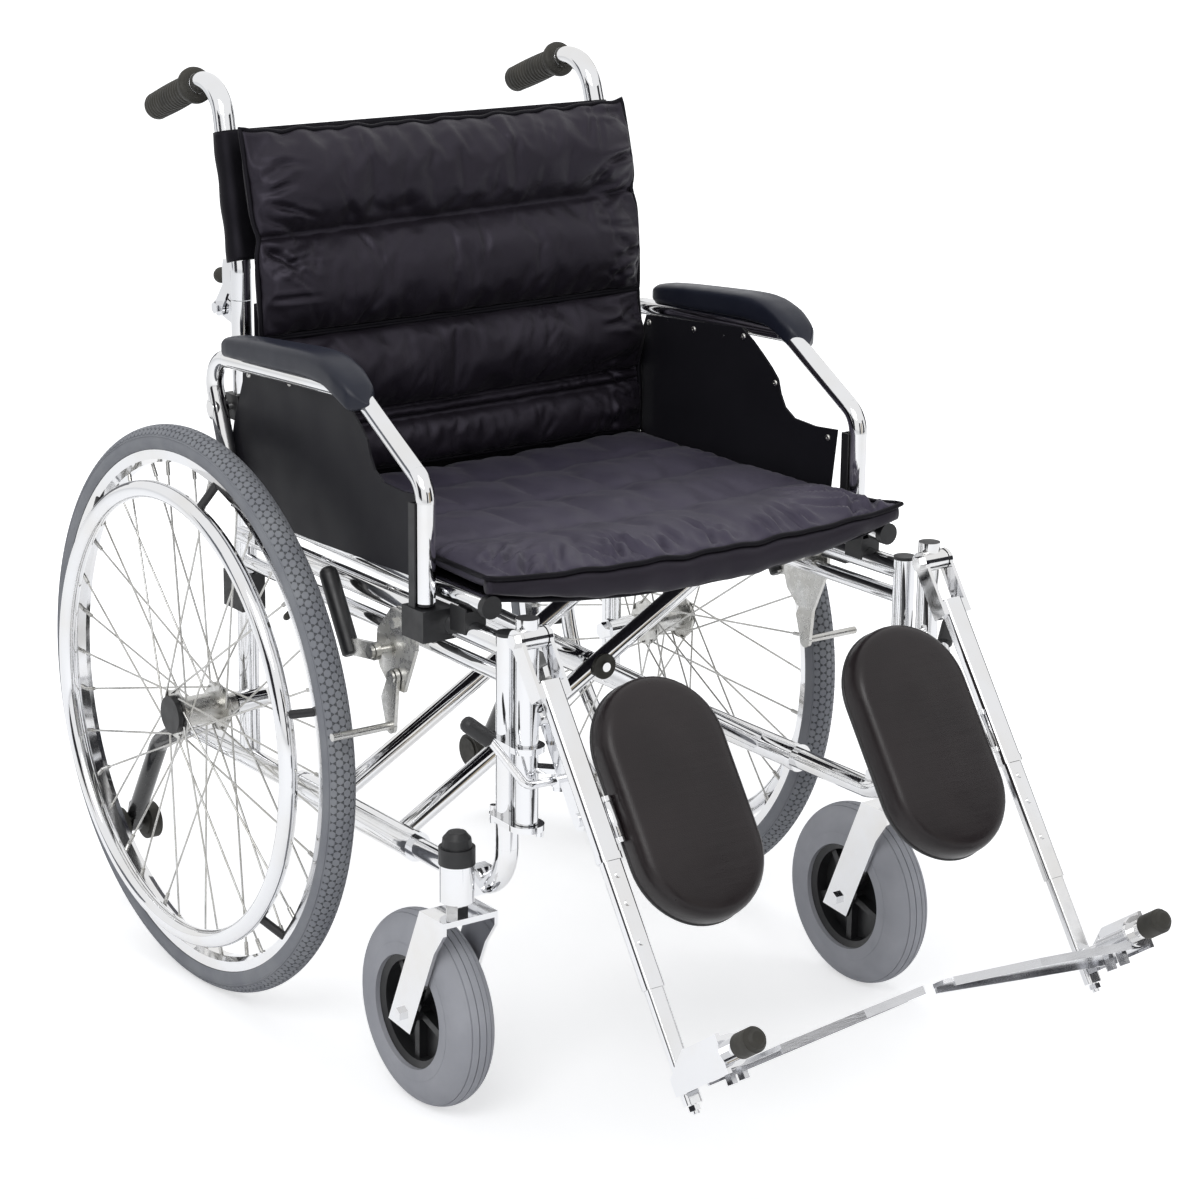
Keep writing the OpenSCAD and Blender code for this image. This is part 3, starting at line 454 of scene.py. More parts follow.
def set_studio():
    bpy.context.scene.view_settings.view_transform = "Standard"
    set_camera()
    set_world()
    add_floor()
    for row in (("key", (-2.6, -2.2, 3.4), 0.5, (2.4, 2.0), 62, True),
                ("fill", (3.4, -1.8, 2.2), 0.5, (1.8, 2.2), 20, False),
                ("top", (0.3, 1.4, 3.6), 0.4, (2.6, 2.0), 34, False)):
        add_lamp(*row)
    # the panels glow dark, and one warm: painted reflections for the bright
    # metal
    dark = (0.03, 0.03, 0.035)
    for row in (("flag_front_right", 42, 3.0, 3.2, dark),
                ("flag_front", -8, 1.6, 2.8, dark),
                ("flag_warm", 14, 1.2, 2.6, (0.42, 0.36, 0.27)),
                ("flag_left", -86, 3.4, 2.4, dark),
                ("flag_left_back", -128, 1.4, 2.2, (0.16, 0.17, 0.19)),
                ("flag_right", 96, 3.0, 2.6, dark),
                ("flag_back_right", 132, 1.6, 2.0, (0.12, 0.12, 0.13)),
                ("flag_back", 176, 2.4, 1.6, (0.2, 0.2, 0.21))):
        add_flag(*row)


# ---- carried-over CAD nodes ----

PLAIN_NODES = (
    ("side_frame", CHROME), ("frame_trim", PLASTIC), ("spokes", ZINC),
    ("rim", CHROME), ("caster_fork", CHROME), ("caster_hub", PLASTIC),
    ("caster_tyre", CASTER_TYRE), ("side_panel", PANEL),
    ("brake_bracket", ZINC), ("brake_shoe", ZINC), ("leg_bar", CHROME),
    ("foot_plate", PLATE), ("anti_tipper", ENAMEL),
    ("tipper_wheels", RUBBER))


def dress_nodes(side, sign):
    for name, material in PLAIN_NODES:
        finish(f"{name}_{side}", material)
    end_ring_x = WHEEL_X + 0.0265
    finish(f"rear_hub_{side}", ZINC,
           (PLASTIC, lambda c: abs(c.x) > end_ring_x))
    ring_x, ring_radius = WHEEL_X + 0.030, RIM_RADIUS - 0.025

    def off_ring(c):
        out = math.hypot(c.y - AXLE_Y, c.z - WHEEL_Z) - ring_radius
        return math.hypot(out, abs(c.x) - ring_x) > 0.0100
    finish(f"push_rim_{side}", CHROME, (PLASTIC, off_ring))
    arm_foot_top, hanger_plug_low = 0.5099, 0.5227
    finish(f"arm_tube_{side}", CHROME,
           (PLASTIC, lambda c: c.z <= arm_foot_top))
    finish(f"leg_hanger_{side}", CHROME,
           (PLASTIC, lambda c: c.z > hanger_plug_low))
    latch_knob = Vector((sign * 0.240, AXLE_Y + 0.049, 0.757))
    finish(f"back_cane_{side}", CHROME,
           (RUBBER, lambda c: (c - latch_knob).length < 0.0092))
    link_x, link_y = SIDE_X + 0.0296, AXLE_Y - 0.262
    finish(f"brake_handle_{side}", PLASTIC,
           (ZINC, lambda c: abs(c.x) < link_x and c.y < link_y))
    knob = Vector((sign * 0.2806, AXLE_Y - 0.518, 0.409))
    way = Vector((sign * 0.022, 0.016, 0.020)).normalized()

    def on_knob(c):
        along = (c - knob).dot(way)
        off_axis = (c - knob - way * along).length
        return along > -0.0005 and off_axis > 0.0042 or along > 0.02
    finish(f"hanger_latch_{side}", CHROME, (PLASTIC, on_knob))
    front = Vector((0, -math.cos(LEG_ANGLE), math.sin(LEG_ANGLE)))
    hinge = Vector((sign * LEG_TOP.x, LEG_TOP.y, LEG_TOP.z))
    finish(f"leg_slide_{side}", CHROME,
           (RUBBER, lambda c: (c - hinge).dot(front) > 0.1041))


def dress_brace():
    bolt_z, bolt_rows = 0.380, (AXLE_Y - 0.296, AXLE_Y - 0.170)
    washer_radius, plug_y = 0.0137, AXLE_Y - 0.4581

    def on_washer(c):
        return math.hypot(c.x, c.z - bolt_z) < washer_radius and any(
            row - 0.0152 < c.y < row - 0.0104 for row in bolt_rows)
    rail_plug = (PLASTIC, lambda c: c.y < plug_y)
    finish("brace_one", CHROME, rail_plug, (RUBBER, on_washer))
    finish("brace_two", CHROME, rail_plug)


# ---- rear wheels ----

def on_wheel(sign, w, radius, turn):
    """A point of a rear wheel, w from its middle plane."""
    return Vector((sign * WHEEL_X + w, AXLE_Y + radius * math.cos(turn),
                   WHEEL_Z + radius * math.sin(turn)))


def rear_tyre(side, sign):
    """A moulded tyre: a smooth carcass with rows of six-sided blocks."""
    body = f"rear_wheel_{side}"
    carcass, side_wall, steps = 0.0162, 0.0132, 160
    block_rows, row_step, pitch = 5, 0.0070, 0.0091
    middle = TYRE_RADIUS - 0.017
    inner = RIM_RADIUS + 0.0148
    start = math.acos((inner - middle) / carcass)
    profile = [(middle + carcass * math.cos(t), carcass * math.sin(t))
               for t in np.linspace(-start, start, 25)]
    profile += [(inner - 0.004, 0.0095), (inner - 0.004, -0.0095)]
    made = skin(f"rear_tyre_{side}",
                [[on_wheel(sign, w, r, t) for r, w in profile]
                 for t in turns(steps)], GROOVE_PAINTED_SHADE, body, closed=True)
    # the side walls take the grey rubber; the tread band between the blocks
    # stays darker, painted shade in its grooves
    made.data.materials.append(GREY_TYRE)
    for polygon in made.data.polygons:
        if abs(abs(polygon.center.x) - WHEEL_X) > side_wall:
            polygon.material_index = 1
    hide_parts(f"tyre_{side}")

    # raised blocks, each a six-sided prism with bevelled edges
    points, faces = [], []
    count = round(2 * math.pi * TYRE_RADIUS / pitch)
    for row in range(block_rows):
        lean = (row - (block_rows - 1) / 2) * row_step / carcass
        for k in range(count):
            turn = 2 * math.pi * (k + 0.5 * (row % 2)) / count
            base = len(points)
            for height, size in ((-0.0006, 0.0040), (0.0004, 0.0040),
                                 (0.0008, 0.0034)):
                for i in range(6):
                    a = math.pi / 6 + i * math.pi / 3
                    bend = lean + size * 1.02 * math.cos(a) / carcass
                    points.append(on_wheel(
                        sign, (carcass + height) * math.sin(bend),
                        middle + (carcass + height) * math.cos(bend),
                        turn + size * 1.12 * math.sin(a) / TYRE_RADIUS))
            for ring in (base, base + 6):
                for i in range(6):
                    j = (i + 1) % 6
                    faces.append((ring + i, ring + j, ring + 6 + j,
                                  ring + 6 + i))
            faces.append(tuple(base + 12 + i for i in range(6)))
            faces.append(tuple(base + 5 - i for i in range(6)))
    tread = add_mesh(f"tyre_tread_{side}", points, faces, GREY_TYRE,
                     body, smooth=False)

    # shoulder ribs, a thin ring on each side of the tread
    for edge, w in (("in", -0.0150), ("out", 0.0150)):
        r = middle + math.sqrt(carcass ** 2 - w ** 2)
        rib = tube(f"tyre_rib_{edge}_{side}",
                   [on_wheel(sign, w, r, t) for t in turns(steps)],
                   0.0009, GREY_TYRE, body, 6)


def valve(side, sign):
    """A rubber valve stem that stands in from the rim, with its cap."""
    # the wheel's own axes: its first runs down, its second runs back
    turn = math.radians(-128)
    out = Vector((0, math.sin(turn), -math.cos(turn)))
    start = Vector((sign * WHEEL_X, AXLE_Y, WHEEL_Z)) + out * (
        RIM_RADIUS + 0.003)
    turned(f"valve_{side}", start, -out,
           [(0, 0.0036), (0.006, 0.0036), (0.008, 0.0030), (0.018, 0.0028),
            (0.0185, 0.0036), (0.026, 0.0036), (0.0285, 0.0028)],
           RUBBER, f"rear_wheel_{side}", 20)


# ---- arm pads, panel screws and push grips ----

def smooth_line(table, column):
    """A softened height or width along a table's first column."""
    window = 31
    ys = [-row[0] for row in table]
    fine = np.linspace(ys[0], ys[-1], 400)
    line = np.interp(fine, ys, [row[column] for row in table])
    kernel = np.hanning(window)
    kernel /= kernel.sum()
    soft = np.convolve(np.pad(line, window // 2, mode="edge"), kernel,
                       mode="valid")
    return lambda y: float(np.interp(-y, fine, soft))


def arm_pad(side, sign):
    """A soft grip that broadens and droops at its front end."""
    tops = [(-28, 703), (-31, 709), (-45, 712.5), (-83, 717), (-135, 721.5),
            (-190, 726), (-215, 727), (-236, 725), (-258, 718),
            (-275, 709), (-288, 698), (-295, 689)]
    lows = [(-28, 694), (-31, 690), (-45, 690.5), (-120, 693.5),
            (-197, 698), (-240, 697), (-262, 689), (-282, 678),
            (-290, 678), (-295, 684)]
    wides = [(-28, -7, 20), (-34, -9, 23.5), (-150, -9.5, 25),
             (-190, -11, 25.5), (-226, -12.2, 26.5), (-262, -12.2, 27),
             (-284, -9, 23), (-292, -3, 16), (-295, 1, 9)]
    steps = [-28, -29, -31, -34, -40, *range(-50, -250, -8),
             *range(-250, -286, -4), -287, -290, -292, -293.6, -294.6, -295]
    top, low = smooth_line(tops, 1), smooth_line(lows, 1)
    thin, thick = smooth_line(wides, 1), smooth_line(wides, 2)
    rings = []
    for y in steps:
        end = min(1.0, (abs(y + 27.6) / 8) ** 0.5,
                  (abs(y + 295.6) / 14) ** 0.5)
        cx, hw = (thin(y) + thick(y)) / 2, (thick(y) - thin(y)) / 2
        cz, hh = (top(y) + low(y)) / 2, (top(y) - low(y)) / 2
        ring = []
        for t in turns(56):
            c, s = math.cos(t), math.sin(t)
            power = 0.56 if s > 0 else 0.42
            x = cx + end * hw * math.copysign(abs(c) ** power, c)
            z = cz + end * hh * math.copysign(abs(s) ** power, s)
            ring.append(Vector((sign * (ARM_X + x / 1000),
                                AXLE_Y + y / 1000, z / 1000)))
        rings.append(ring)
    made = skin(f"armrest_{side}", rings, ARM_FOAM, f"arm_{side}")
    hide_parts(f"arm_pad_{side}")


def panel_screws(side, sign):
    inner, thick = ARM_X - 0.0119, 0.0022
    spots = [(-36, 668), (-118, 674), (-206, 681), (-262, 640),
             (-352, 598), (-346, 540), (-20, 540)]
    inside_only = (-262, -352, -346)
    for k, (y, z) in enumerate(spots):
        for face, x, way in (("in", inner, -1), ("out", inner + thick, 1)):
            if face == "in" or y not in inside_only:
                screw(f"panel_screw_{face}_{k}_{side}",
                      (sign * x, AXLE_Y + y / 1000, z / 1000),
                      (way * sign, 0, 0), 0.0036, f"arm_{side}")


def push_grip(side, sign):
    """A ribbed rubber grip with a thumb flange and a domed end."""
    way = Vector((0, 0.939, -0.344)).normalized()
    bend = Vector((sign * 0.232, AXLE_Y + 0.060, 0.966))
    profile = [(0, 0.0118), (0, 0.0150), (0.001, 0.0190), (0.003, 0.0196),
               (0.006, 0.0196), (0.008, 0.0190), (0.0095, 0.0162),
               (0.013, 0.0140)]
    ribs, rib_step = 14, 0.0056
    for k in range(ribs):
        at = 0.016 + k * rib_step
        swell = 0.0008 * math.sin(math.pi * k / ribs)
        profile += [(at + along, radius + swell) for along, radius in (
            (-0.0022, 0.0136), (-0.0014, 0.0146), (0.0014, 0.0146),
            (0.0022, 0.0136))]
    profile += [(0.0945, 0.0148), (0.0968, 0.0140), (0.0985, 0.0112),
                (0.099, 0.006)]
    made = turned(f"grip_{side}", bend + 0.050 * way, way, profile, RUBBER,
                  f"back_{side}", 56)
    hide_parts(f"push_grip_{side}")


# ---- calf pads ----

def in_leg(sign, x, y, z):
    """A point of the leg's own frame, in millimetres, in the room."""
    c, s = math.cos(LEG_ANGLE), math.sin(LEG_ANGLE)
    return Vector((sign * (LEG_TOP.x + x / 1000),
                   LEG_TOP.y + (y * c + z * s) / 1000,
                   LEG_TOP.z + (-y * s + z * c) / 1000))


def capsule(radius, length, straight=10, round_steps=28):
    """A capsule outline round the origin, its long way up."""
    half = length / 2 - radius
    ring = []
    for end in (1, -1):
        ring += [(end * radius * math.cos(t),
                  end * (half + radius * math.sin(t)))
                 for t in np.linspace(0, math.pi, round_steps)]
        ring += [(-end * radius, end * z) for z in np.linspace(
            half, -half, straight + 2)[1:-1]]
    return ring


def calf_pad(side, sign):
    """A leather cushion on a plastic shell, with its hinge in front of
    the leg bar. Sizes are in millimetres, in the leg's own frame."""
    width, length = 138, 240
    cx, cz = -26 - width / 2, -59 - length / 2
    body = f"calf_pad_{side}"

    def capsule_skin(name, steps, material):
        rings = []
        for inset, depth in steps:
            core = max(0.0, 1 - inset / (width / 2)) ** 0.5
            ring = []
            for x, z in capsule(width / 2 - inset, length - 2 * inset):
                crown = 2.6 * (1 - core) * (1 - (z / (length / 2)) ** 2)
                ring.append(in_leg(sign, cx + x, depth - crown, cz + z))
            rings.append(ring)
        return skin(name, rings, material, body)

    cushion = [(3.2, 8.6), (0.9, 7.4), (0.2, 4), (0, 0), (0.1, -5.5),
               (0.6, -10.2), (1.7, -14.2), (3.6, -17.3), (6.4, -19.6),
               (10.5, -21.1), (17, -22.0), (27, -22.6), (39, -22.9),
               (50, -23.1), (58, -23.2), (63.2, -23.2)]
    pad = capsule_skin(f"calf_cushion_{side}", cushion, LEATHER)
    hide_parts(f"calf_pad_{side}")
    shell = capsule_skin(f"calf_shell_{side}", [
        (6, 12), (3.0, 12), (1.6, 11.2), (0.9, 9.6), (1.2, 8.2), (3, 7.6),
        (6, 7.6)], PLASTIC)
    piping = tube(f"calf_piping_{side}", [
        in_leg(sign, cx + x, 6.6, cz + z)
        for x, z in capsule(width / 2 - 0.9, length - 1.8, 18, 40)],
        0.0017, PLASTIC, body, 8)
    # the hinge sleeve and the arm that carries the shell
    sleeve_x, sleeve_top, sleeve_low = -19.5, -166.6, -200.6
    top = in_leg(sign, sleeve_x, 0, sleeve_top)
    axis = in_leg(sign, sleeve_x, 0, sleeve_low) - top
    high = axis.length
    turned(f"calf_sleeve_{side}", top, axis,
           [(0, 0.0035), (0, 0.0056), (0.0004, 0.006),
            (high - 0.0004, 0.006), (high, 0.0056), (high, 0.0035)],
           CHROME, body, 32)
    bevel = 0.8
    for name, x0, x1, y0, y1, z0, z1 in (
            ("arm", -46, -21, 1.4, 5.6, -196, -171),
            ("plate", -62, -36, 5.0, 14.6, -198, -169)):
        skin(f"calf_{name}_{side}",
             [[in_leg(sign, x, y, z) for x, z in (
                 (x0 + b, z0 + b), (x1 - b, z0 + b), (x1 - b, z1 - b),
                 (x0 + b, z1 - b))]
              for y, b in ((y0, bevel), (y0 + bevel, 0), (y1 - bevel, 0),
                           (y1, bevel))], CHROME, body, smooth=False)
    back = in_leg(sign, 0, 1, 0) - in_leg(sign, 0, 0, 0)
    for z in (-176, -191):
        screw(f"calf_screw_{-z}_{side}", in_leg(sign, -55, 14.6, z), back,
              0.0042, body)


# ---- padded cloth ----

PIPING_RADIUS = 0.0026


def creases(seed, spots):
    """Random fold lines. Each spot gives how many there are and the
    ranges of their place across and along, angle, length, width and
    depth."""
    pick = random.Random(seed)
    return [[pick.uniform(*span) for span in spans]
            for count, *spans in spots for _ in range(count)]


def crease_depth(s, t, lines):
    """How far each point sinks, from its places across and along."""
    total = np.zeros(len(s))
    for across, along, angle, length, width, depth in lines:
        c, n = math.cos(math.radians(angle)), math.sin(math.radians(angle))
        a = (s - across) * c + (t - along) * n
        b = -(s - across) * n + (t - along) * c
        # a fold bends a little along its length
        b = b + 0.10 * a * a / max(length, 0.01)
        k = np.clip(a / length, 0, 1)
        fade = np.where((a > -0.002) & (a < length),
                        np.sin(np.pi * np.clip(k * 0.86 + 0.14, 0, 1)), 0)
        dip = np.exp(-(b / width) ** 2)
        lift = 0.55 * np.exp(-((np.abs(b) - 1.9 * width) / width) ** 2)
        total += depth * fade * (dip - lift)
    return total


def coordinates(mesh):
    where = np.empty(len(mesh.vertices) * 3, np.float32)
    mesh.vertices.foreach_get("co", where)
    return where.reshape(-1, 3).astype(float)


def move_to(mesh, where):
    mesh.vertices.foreach_set("co", where.astype(np.float32).ravel())
    mesh.update()


CLOTH_SETTINGS = {
    "quality": 6, "mass": 0.15, "tension_stiffness": 12,
    "compression_stiffness": 12, "shear_stiffness": 4,
    "bending_stiffness": 0.05, "air_damping": 2, "use_pressure": True,
    "uniform_pressure_force": 3.2, "vertex_group_mass": "pins"}


def simulate(shown, free, cap, slack):
    """Blows a pinned pad up with Blender's cloth, and keeps each point
    within cap of where it started. slack is the share of spare cloth."""
    frames = 22
    start = coordinates(shown.data)
    pins = shown.vertex_groups.new(name="pins")
    pins.add([int(i) for i in np.where(~free)[0]], 1.0, "ADD")
    cloth = shown.modifiers.new("cloth", "CLOTH")
    for key, value in CLOTH_SETTINGS.items():
        setattr(cloth.settings, key, value)
    cloth.settings.shrink_min = -slack
    cloth.settings.effector_weights.gravity = 0
    cloth.collision_settings.use_self_collision = False
    cloth.point_cache.frame_start = 1
    cloth.point_cache.frame_end = frames
    scene = bpy.context.scene
    for number in range(1, frames):
        scene.frame_set(number)
    graph = bpy.context.evaluated_depsgraph_get()
    move = coordinates(shown.evaluated_get(graph).data) - start
    shown.modifiers.remove(cloth)
    scene.frame_set(1)
    far = np.linalg.norm(move, axis=1)
    scale = np.where(far > cap, cap / np.maximum(far, 1e-9), 1)
    move_to(shown.data, start + move * scale[:, None])
    shown.vertex_groups.remove(pins)


def subdivide(shown):
    """One level of smooth subdivision, applied."""
    modifier = shown.modifiers.new("subdivision", "SUBSURF")
    modifier.levels = modifier.render_levels = 1
    graph = bpy.context.evaluated_depsgraph_get()
    mesh = bpy.data.meshes.new_from_object(shown.evaluated_get(graph))
    shown.modifiers.remove(modifier)
    old = shown.data
    shown.data = mesh
    bpy.data.meshes.remove(old)
    for polygon in mesh.polygons:
        polygon.use_smooth = True


@dataclass
class Pad:
    """A sewn cushion with a channelled front, a plain back and a hem.
    front(u, t, rise) and back(u, t, share) place a point from its place
    across, -1 to 1, and along. height(t) is the pillow's height, 0 to 1,
    side_of(points) gives places across and along, and out(t) is the way
    out of the front."""
    name: str
    body: str
    material: object
    node: str
    across: float
    seams: list
    cell: float
    swell: float
    groove: float
    front: object
    back: object
    height: object
    side_of: object
    out: object

    def rows(self):
        """Places along the pad, with a row on each seam and edge."""
        places, on_seam = [], []
        for a, b in zip(self.seams, self.seams[1:]):
            count = max(3, round(abs(b - a) / self.cell))
            places += [a + (b - a) * k / count for k in range(count)]
            on_seam += [k == 0 for k in range(count)]
        places.append(self.seams[-1])
        return np.array(places), np.array(on_seam + [True])

    def build(self, fold_lines, cap, slack):
        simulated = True
        t_rows, seam_rows = self.rows()
        columns = round(self.across / self.cell)
        # columns lie closer together towards the two side hems
        u = -np.cos(np.linspace(0, math.pi, columns + 1)) * 0.35 \
            + np.linspace(-1, 1, columns + 1) * 0.65
        nt, nu = len(t_rows), len(u)
        grid_u, grid_t = np.meshgrid(u, t_rows)
        flat_u, flat_t = grid_u.ravel(), grid_t.ravel()
        side_fall = np.clip(1 - np.abs(flat_u) ** 9, 0, 1) ** 0.5
        rise = self.height(flat_t) * side_fall
        # the cloth's pressure adds the rest of the swell
        share = 0.62 if simulated else 1.0
        front = self.front(flat_u, flat_t, rise * self.swell * share)
        rear = self.back(flat_u, flat_t, np.clip(rise * 2.2, 0, 1))
        border = np.ones((nt, nu), bool)
        border[1:-1, 1:-1] = False
        index = np.arange(nt * nu).reshape(nt, nu)
        low = index.copy()
        low[~border] = nt * nu + np.arange((~border).sum())
        points = [*front, *rear[~border.ravel()]]
        faces = []
        for j in range(nt - 1):
            for i in range(nu - 1):
                faces.append((index[j, i], index[j, i + 1],
                              index[j + 1, i + 1], index[j + 1, i]))
                faces.append((low[j, i], low[j + 1, i],
                              low[j + 1, i + 1], low[j, i + 1]))
        made = add_mesh(self.name, points,
                        [[int(i) for i in f] for f in faces],
                        self.material, self.body)
        if simulated:
            free = np.zeros(len(points), bool)
            free[index[~border & ~seam_rows[:, None]]] = True
            simulate(made, free, cap, slack)
        subdivide(made)
        self.fold(made, fold_lines)
        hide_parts(self.node)
        return made

    def fold(self, made, fold_lines):
        """Sinks the folds and seams into the front, against its way out."""
        seam_width = 0.0026
        where = coordinates(made.data)
        normals = np.array([v.normal[:] for v in made.data.vertices])
        s, t = self.side_of(where)
        way = self.out(t)
        facing = np.clip((normals * way).sum(axis=1) * 2.0 - 0.3, 0, 1)
        sink = crease_depth(s, t, fold_lines)
        for seam in self.seams[1:-1]:
            sink += self.groove * np.exp(-((t - seam) / seam_width) ** 2)
        move_to(made.data, where - way * (sink * facing)[:, None])

    def piping(self, name, low, high, across, along):
        """Piping all round the hem, with points across and along it."""
        u, t = np.linspace(-1, 1, across), np.linspace(low, high, along)
        loop = [(a, low) for a in u] + [(1, b) for b in t[1:]]
        loop += [(a, high) for a in u[::-1][1:]]
        loop += [(-1, b) for b in t[::-1][1:-1]]
        loop = np.array(loop)
        line = self.front(loop[:, 0], loop[:, 1], np.zeros(len(loop)))
        pipe = tube(name, line, PIPING_RADIUS, SLING_CLOTH, self.body)
        return pipe


def squash_fold(*pieces):
    """Gives each piece a mesh of its own."""
    for piece in pieces:
        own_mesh(piece)


# ---- back rest ----

BACK_HALF = 0.240
HIGH_SEAMS = [0.7030, 0.805, 0.9125]
LOW_SEAMS = [0.5470, 0.597, 0.610, 0.7022]
# above LEAN_LOW the back curves rearwards, by LEAN_OUT over LEAN_RUN
LEAN_LOW, LEAN_RUN, LEAN_OUT, LEAN_POWER = 0.712, 0.190, 0.033, 1.75


def back_lean(z):
    return np.clip(z - LEAN_LOW, 0, 1) / LEAN_RUN


def back_out(z):
    slope = LEAN_OUT / LEAN_RUN * LEAN_POWER \
        * back_lean(z) ** (LEAN_POWER - 1)
    size = np.sqrt(1 + slope ** 2)
    return np.stack([np.zeros_like(z), -1 / size, slope / size], axis=1)


def seam_climb(u, z):
    """How much the seams climb towards the left side."""
    return (1 + u) / 2 * np.interp(
        z, [0.5470, 0.610, 0.7025, 0.805, 0.9125],
        [0.0, 0.008, 0.006, 0.0140, 0.0])


def back_hem(u, z):
    """The pads' middle surface. Its sides pull in a little at the seams,
    and the low pad is wider."""
    draw = sum(pull * np.exp(-((z - seam) / 0.012) ** 2) for seam, pull in (
        (HIGH_SEAMS[1], 0.0045), (LOW_SEAMS[2], 0.0030)))
    wide = 0.0050 * np.clip((0.690 - z) / 0.040, 0, 1)
    return np.stack([
        u * (BACK_HALF + 0.001 - draw + wide),
        AXLE_Y - LEAN_OUT + LEAN_OUT * back_lean(z) ** LEAN_POWER,
        z + seam_climb(u, z)], axis=1)


def back_front(u, z, rise):
    """The front sags in the middle, and its top edge is wavy."""
    base = back_hem(u, z)
    top = np.clip((z - 0.86) / 0.055, 0, 1)
    base[:, 2] -= 0.0035 * (1 - u ** 2) * (0.3 + top)
    base[:, 2] += top * (0.0011 * np.sin(25 * u) + 0.0009 * np.sin(
        43 * u + 1) + 0.0030 * np.abs(u) ** 24)
    return base + back_out(z) * rise[:, None]


def back_rear(u, z, share):
    return back_hem(u, z) - back_out(z) * (0.019 * share)[:, None]


def back_side_of(points):
    x, z = points[:, 0], points[:, 2]
    sag = 0.0010 * (1 - (x / BACK_HALF) ** 2)
    return x, z - seam_climb(x / BACK_HALF, z) + sag


def back_height(seams):
    """The filling between two seams has settled towards the lower one,
    and a narrow channel swells less."""
    def height(t):
        made = np.zeros_like(t)
        for a, b in zip(seams, seams[1:]):
            w = (t - a) / (b - a)
            inside = (w >= 0) & (w <= 1)
            full = min(1.0, abs(b - a) / 0.075)
            made[inside] = full * np.clip(
                1 - np.abs(2 * w[inside] ** 0.84 - 1) ** 2.1, 0, 1) ** 0.54
        return made
    return height


def back_folds(seams, seed):
    """Folds run off the seams and fan in from the side hems."""
    narrow = 0.03
    spots = []
    for a, b in zip(seams, seams[1:]):
        deep = abs(b - a)
        if deep < narrow:
            spots.append((40, (-0.22, 0.22), (a + 0.002, b - 0.002),
                          (60, 120), (0.010, 0.016), (0.0014, 0.0026),
                          (0.0006, 0.0014)))
            continue
        seam_fold = (0.02, deep * 0.6), (0.0022, 0.0042), (0.0006, 0.0022)
        hem_fold = (0.03, 0.07), (0.0026, 0.0052), (0.0016, 0.0040)
        middle, inside = (-0.21, 0.21), (a + 0.008, b - 0.008)
        spots += [
            (13, middle, (a, a + 0.006), (62, 128), *seam_fold),
            (13, middle, (b - 0.006, b), (232, 305), *seam_fold),
            (7, (-0.236, -0.228), inside, (-38, 38), *hem_fold),
            (7, (0.228, 0.236), inside, (142, 218), *hem_fold)]
    return creases(seed, spots)


def back_pads():
    for name, body, node, seams, seed in (
            ("back_pad_high", "back_left", "back_cushion_upper",
             HIGH_SEAMS, 11),
            ("back_pad_low", "left_side", "back_cushion_lower",
             LOW_SEAMS, 5)):
        pad = Pad(name, body, BACK_CLOTH, node, 2 * BACK_HALF, seams,
                  cell=0.0052, swell=0.033, groove=0.0055,
                  front=back_front, back=back_rear,
                  height=back_height(seams), side_of=back_side_of,
                  out=back_out)
        piece = pad.build(back_folds(seams, seed), 0.016, 0.040)
        squash_fold(piece, pad.piping(
            f"{name}_piping", seams[0] + 0.0010, seams[-1] - 0.0010,
            90, 40))


def low_sling():
    """Flat cloth between the posts, behind the low pad."""
    half, low, high, thick = 0.2335, 0.504, 0.231, 0.0030
    columns, rows = 60, 30
    rings = []
    for i in range(columns + 1):
        u = -1 + 2 * i / columns
        ring = []
        for face, steps in ((0, range(rows, -1, -1)), (1, range(rows + 1))):
            for j in steps:
                z = low + high * j / rows
                ripple = 0.0006 * math.sin(14 * u + 9 * z)
                ring.append((half * u, AXLE_Y - 0.0084 + thick * face
                             + ripple, z))
        rings.append(ring)
    made = skin("sling_low", rings, SLING_CLOTH, "left_side")
    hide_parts("back_sling_lower")
    return made


def high_sling():
    """Cloth sewn round the two upper tubes, behind the high pad."""
    low_end = Vector((0.240, AXLE_Y + 0.008, 0.772))
    bend = Vector((0.232, AXLE_Y + 0.060, 0.966))
    way = (bend - low_end).normalized()
    nose = Vector((0, -1, 0.268)).normalized()
    rear, front, columns = 0.0085, 0.0135, 40
    rings = []
    for level in np.linspace(0.006, 0.140, 34):
        middle = low_end + way * level
        radius = 0.0135 + 0.0006 * math.sin(level * 120)

        def at(x, out):
            return Vector((x, middle.y, middle.z)) + nose * out
        ring = []
        # round one tube and over a face, then round the other one
        for end, flat, steps in ((1, rear, range(1, columns)),
                                 (-1, front, range(columns - 1, 0, -1))):
            ring += [at(end * (middle.x + radius * math.cos(t)),
                        -end * radius * math.sin(t))
                     for t in np.linspace(-math.pi / 2, math.pi / 2, 17)]
            for i in steps:
                edge = min(1.0, min(i, columns - i) / 2)
                ring.append(at(middle.x * (1 - 2 * i / columns),
                               flat * edge - end * radius * (1 - edge)))
        rings.append(ring)
    made = skin("sling_high", rings, SLING_CLOTH, "back_left")
    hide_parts("back_sling_upper")
    return made


# ---- seat ----

SEAT_HALF = 0.250
SEAT_BACK, SEAT_FRONT = AXLE_Y - 0.016, AXLE_Y - 0.472


def seat_share(y):
    """0 at the seat's front and 1 at its back."""
    return (y - SEAT_FRONT) / (SEAT_BACK - SEAT_FRONT)


def seat_ear(u, w):
    """1 at the two front corners, which stand out and up."""
    return np.abs(u) ** 26 * np.exp(-(w / 0.05) ** 2)


def seat_x(u, y):
    w = seat_share(y)
    draw = 0.010 * (1 - (2 * w - 1) ** 2)
    return u * (SEAT_HALF + 0.001 - draw + 0.0045 * seat_ear(u, w))


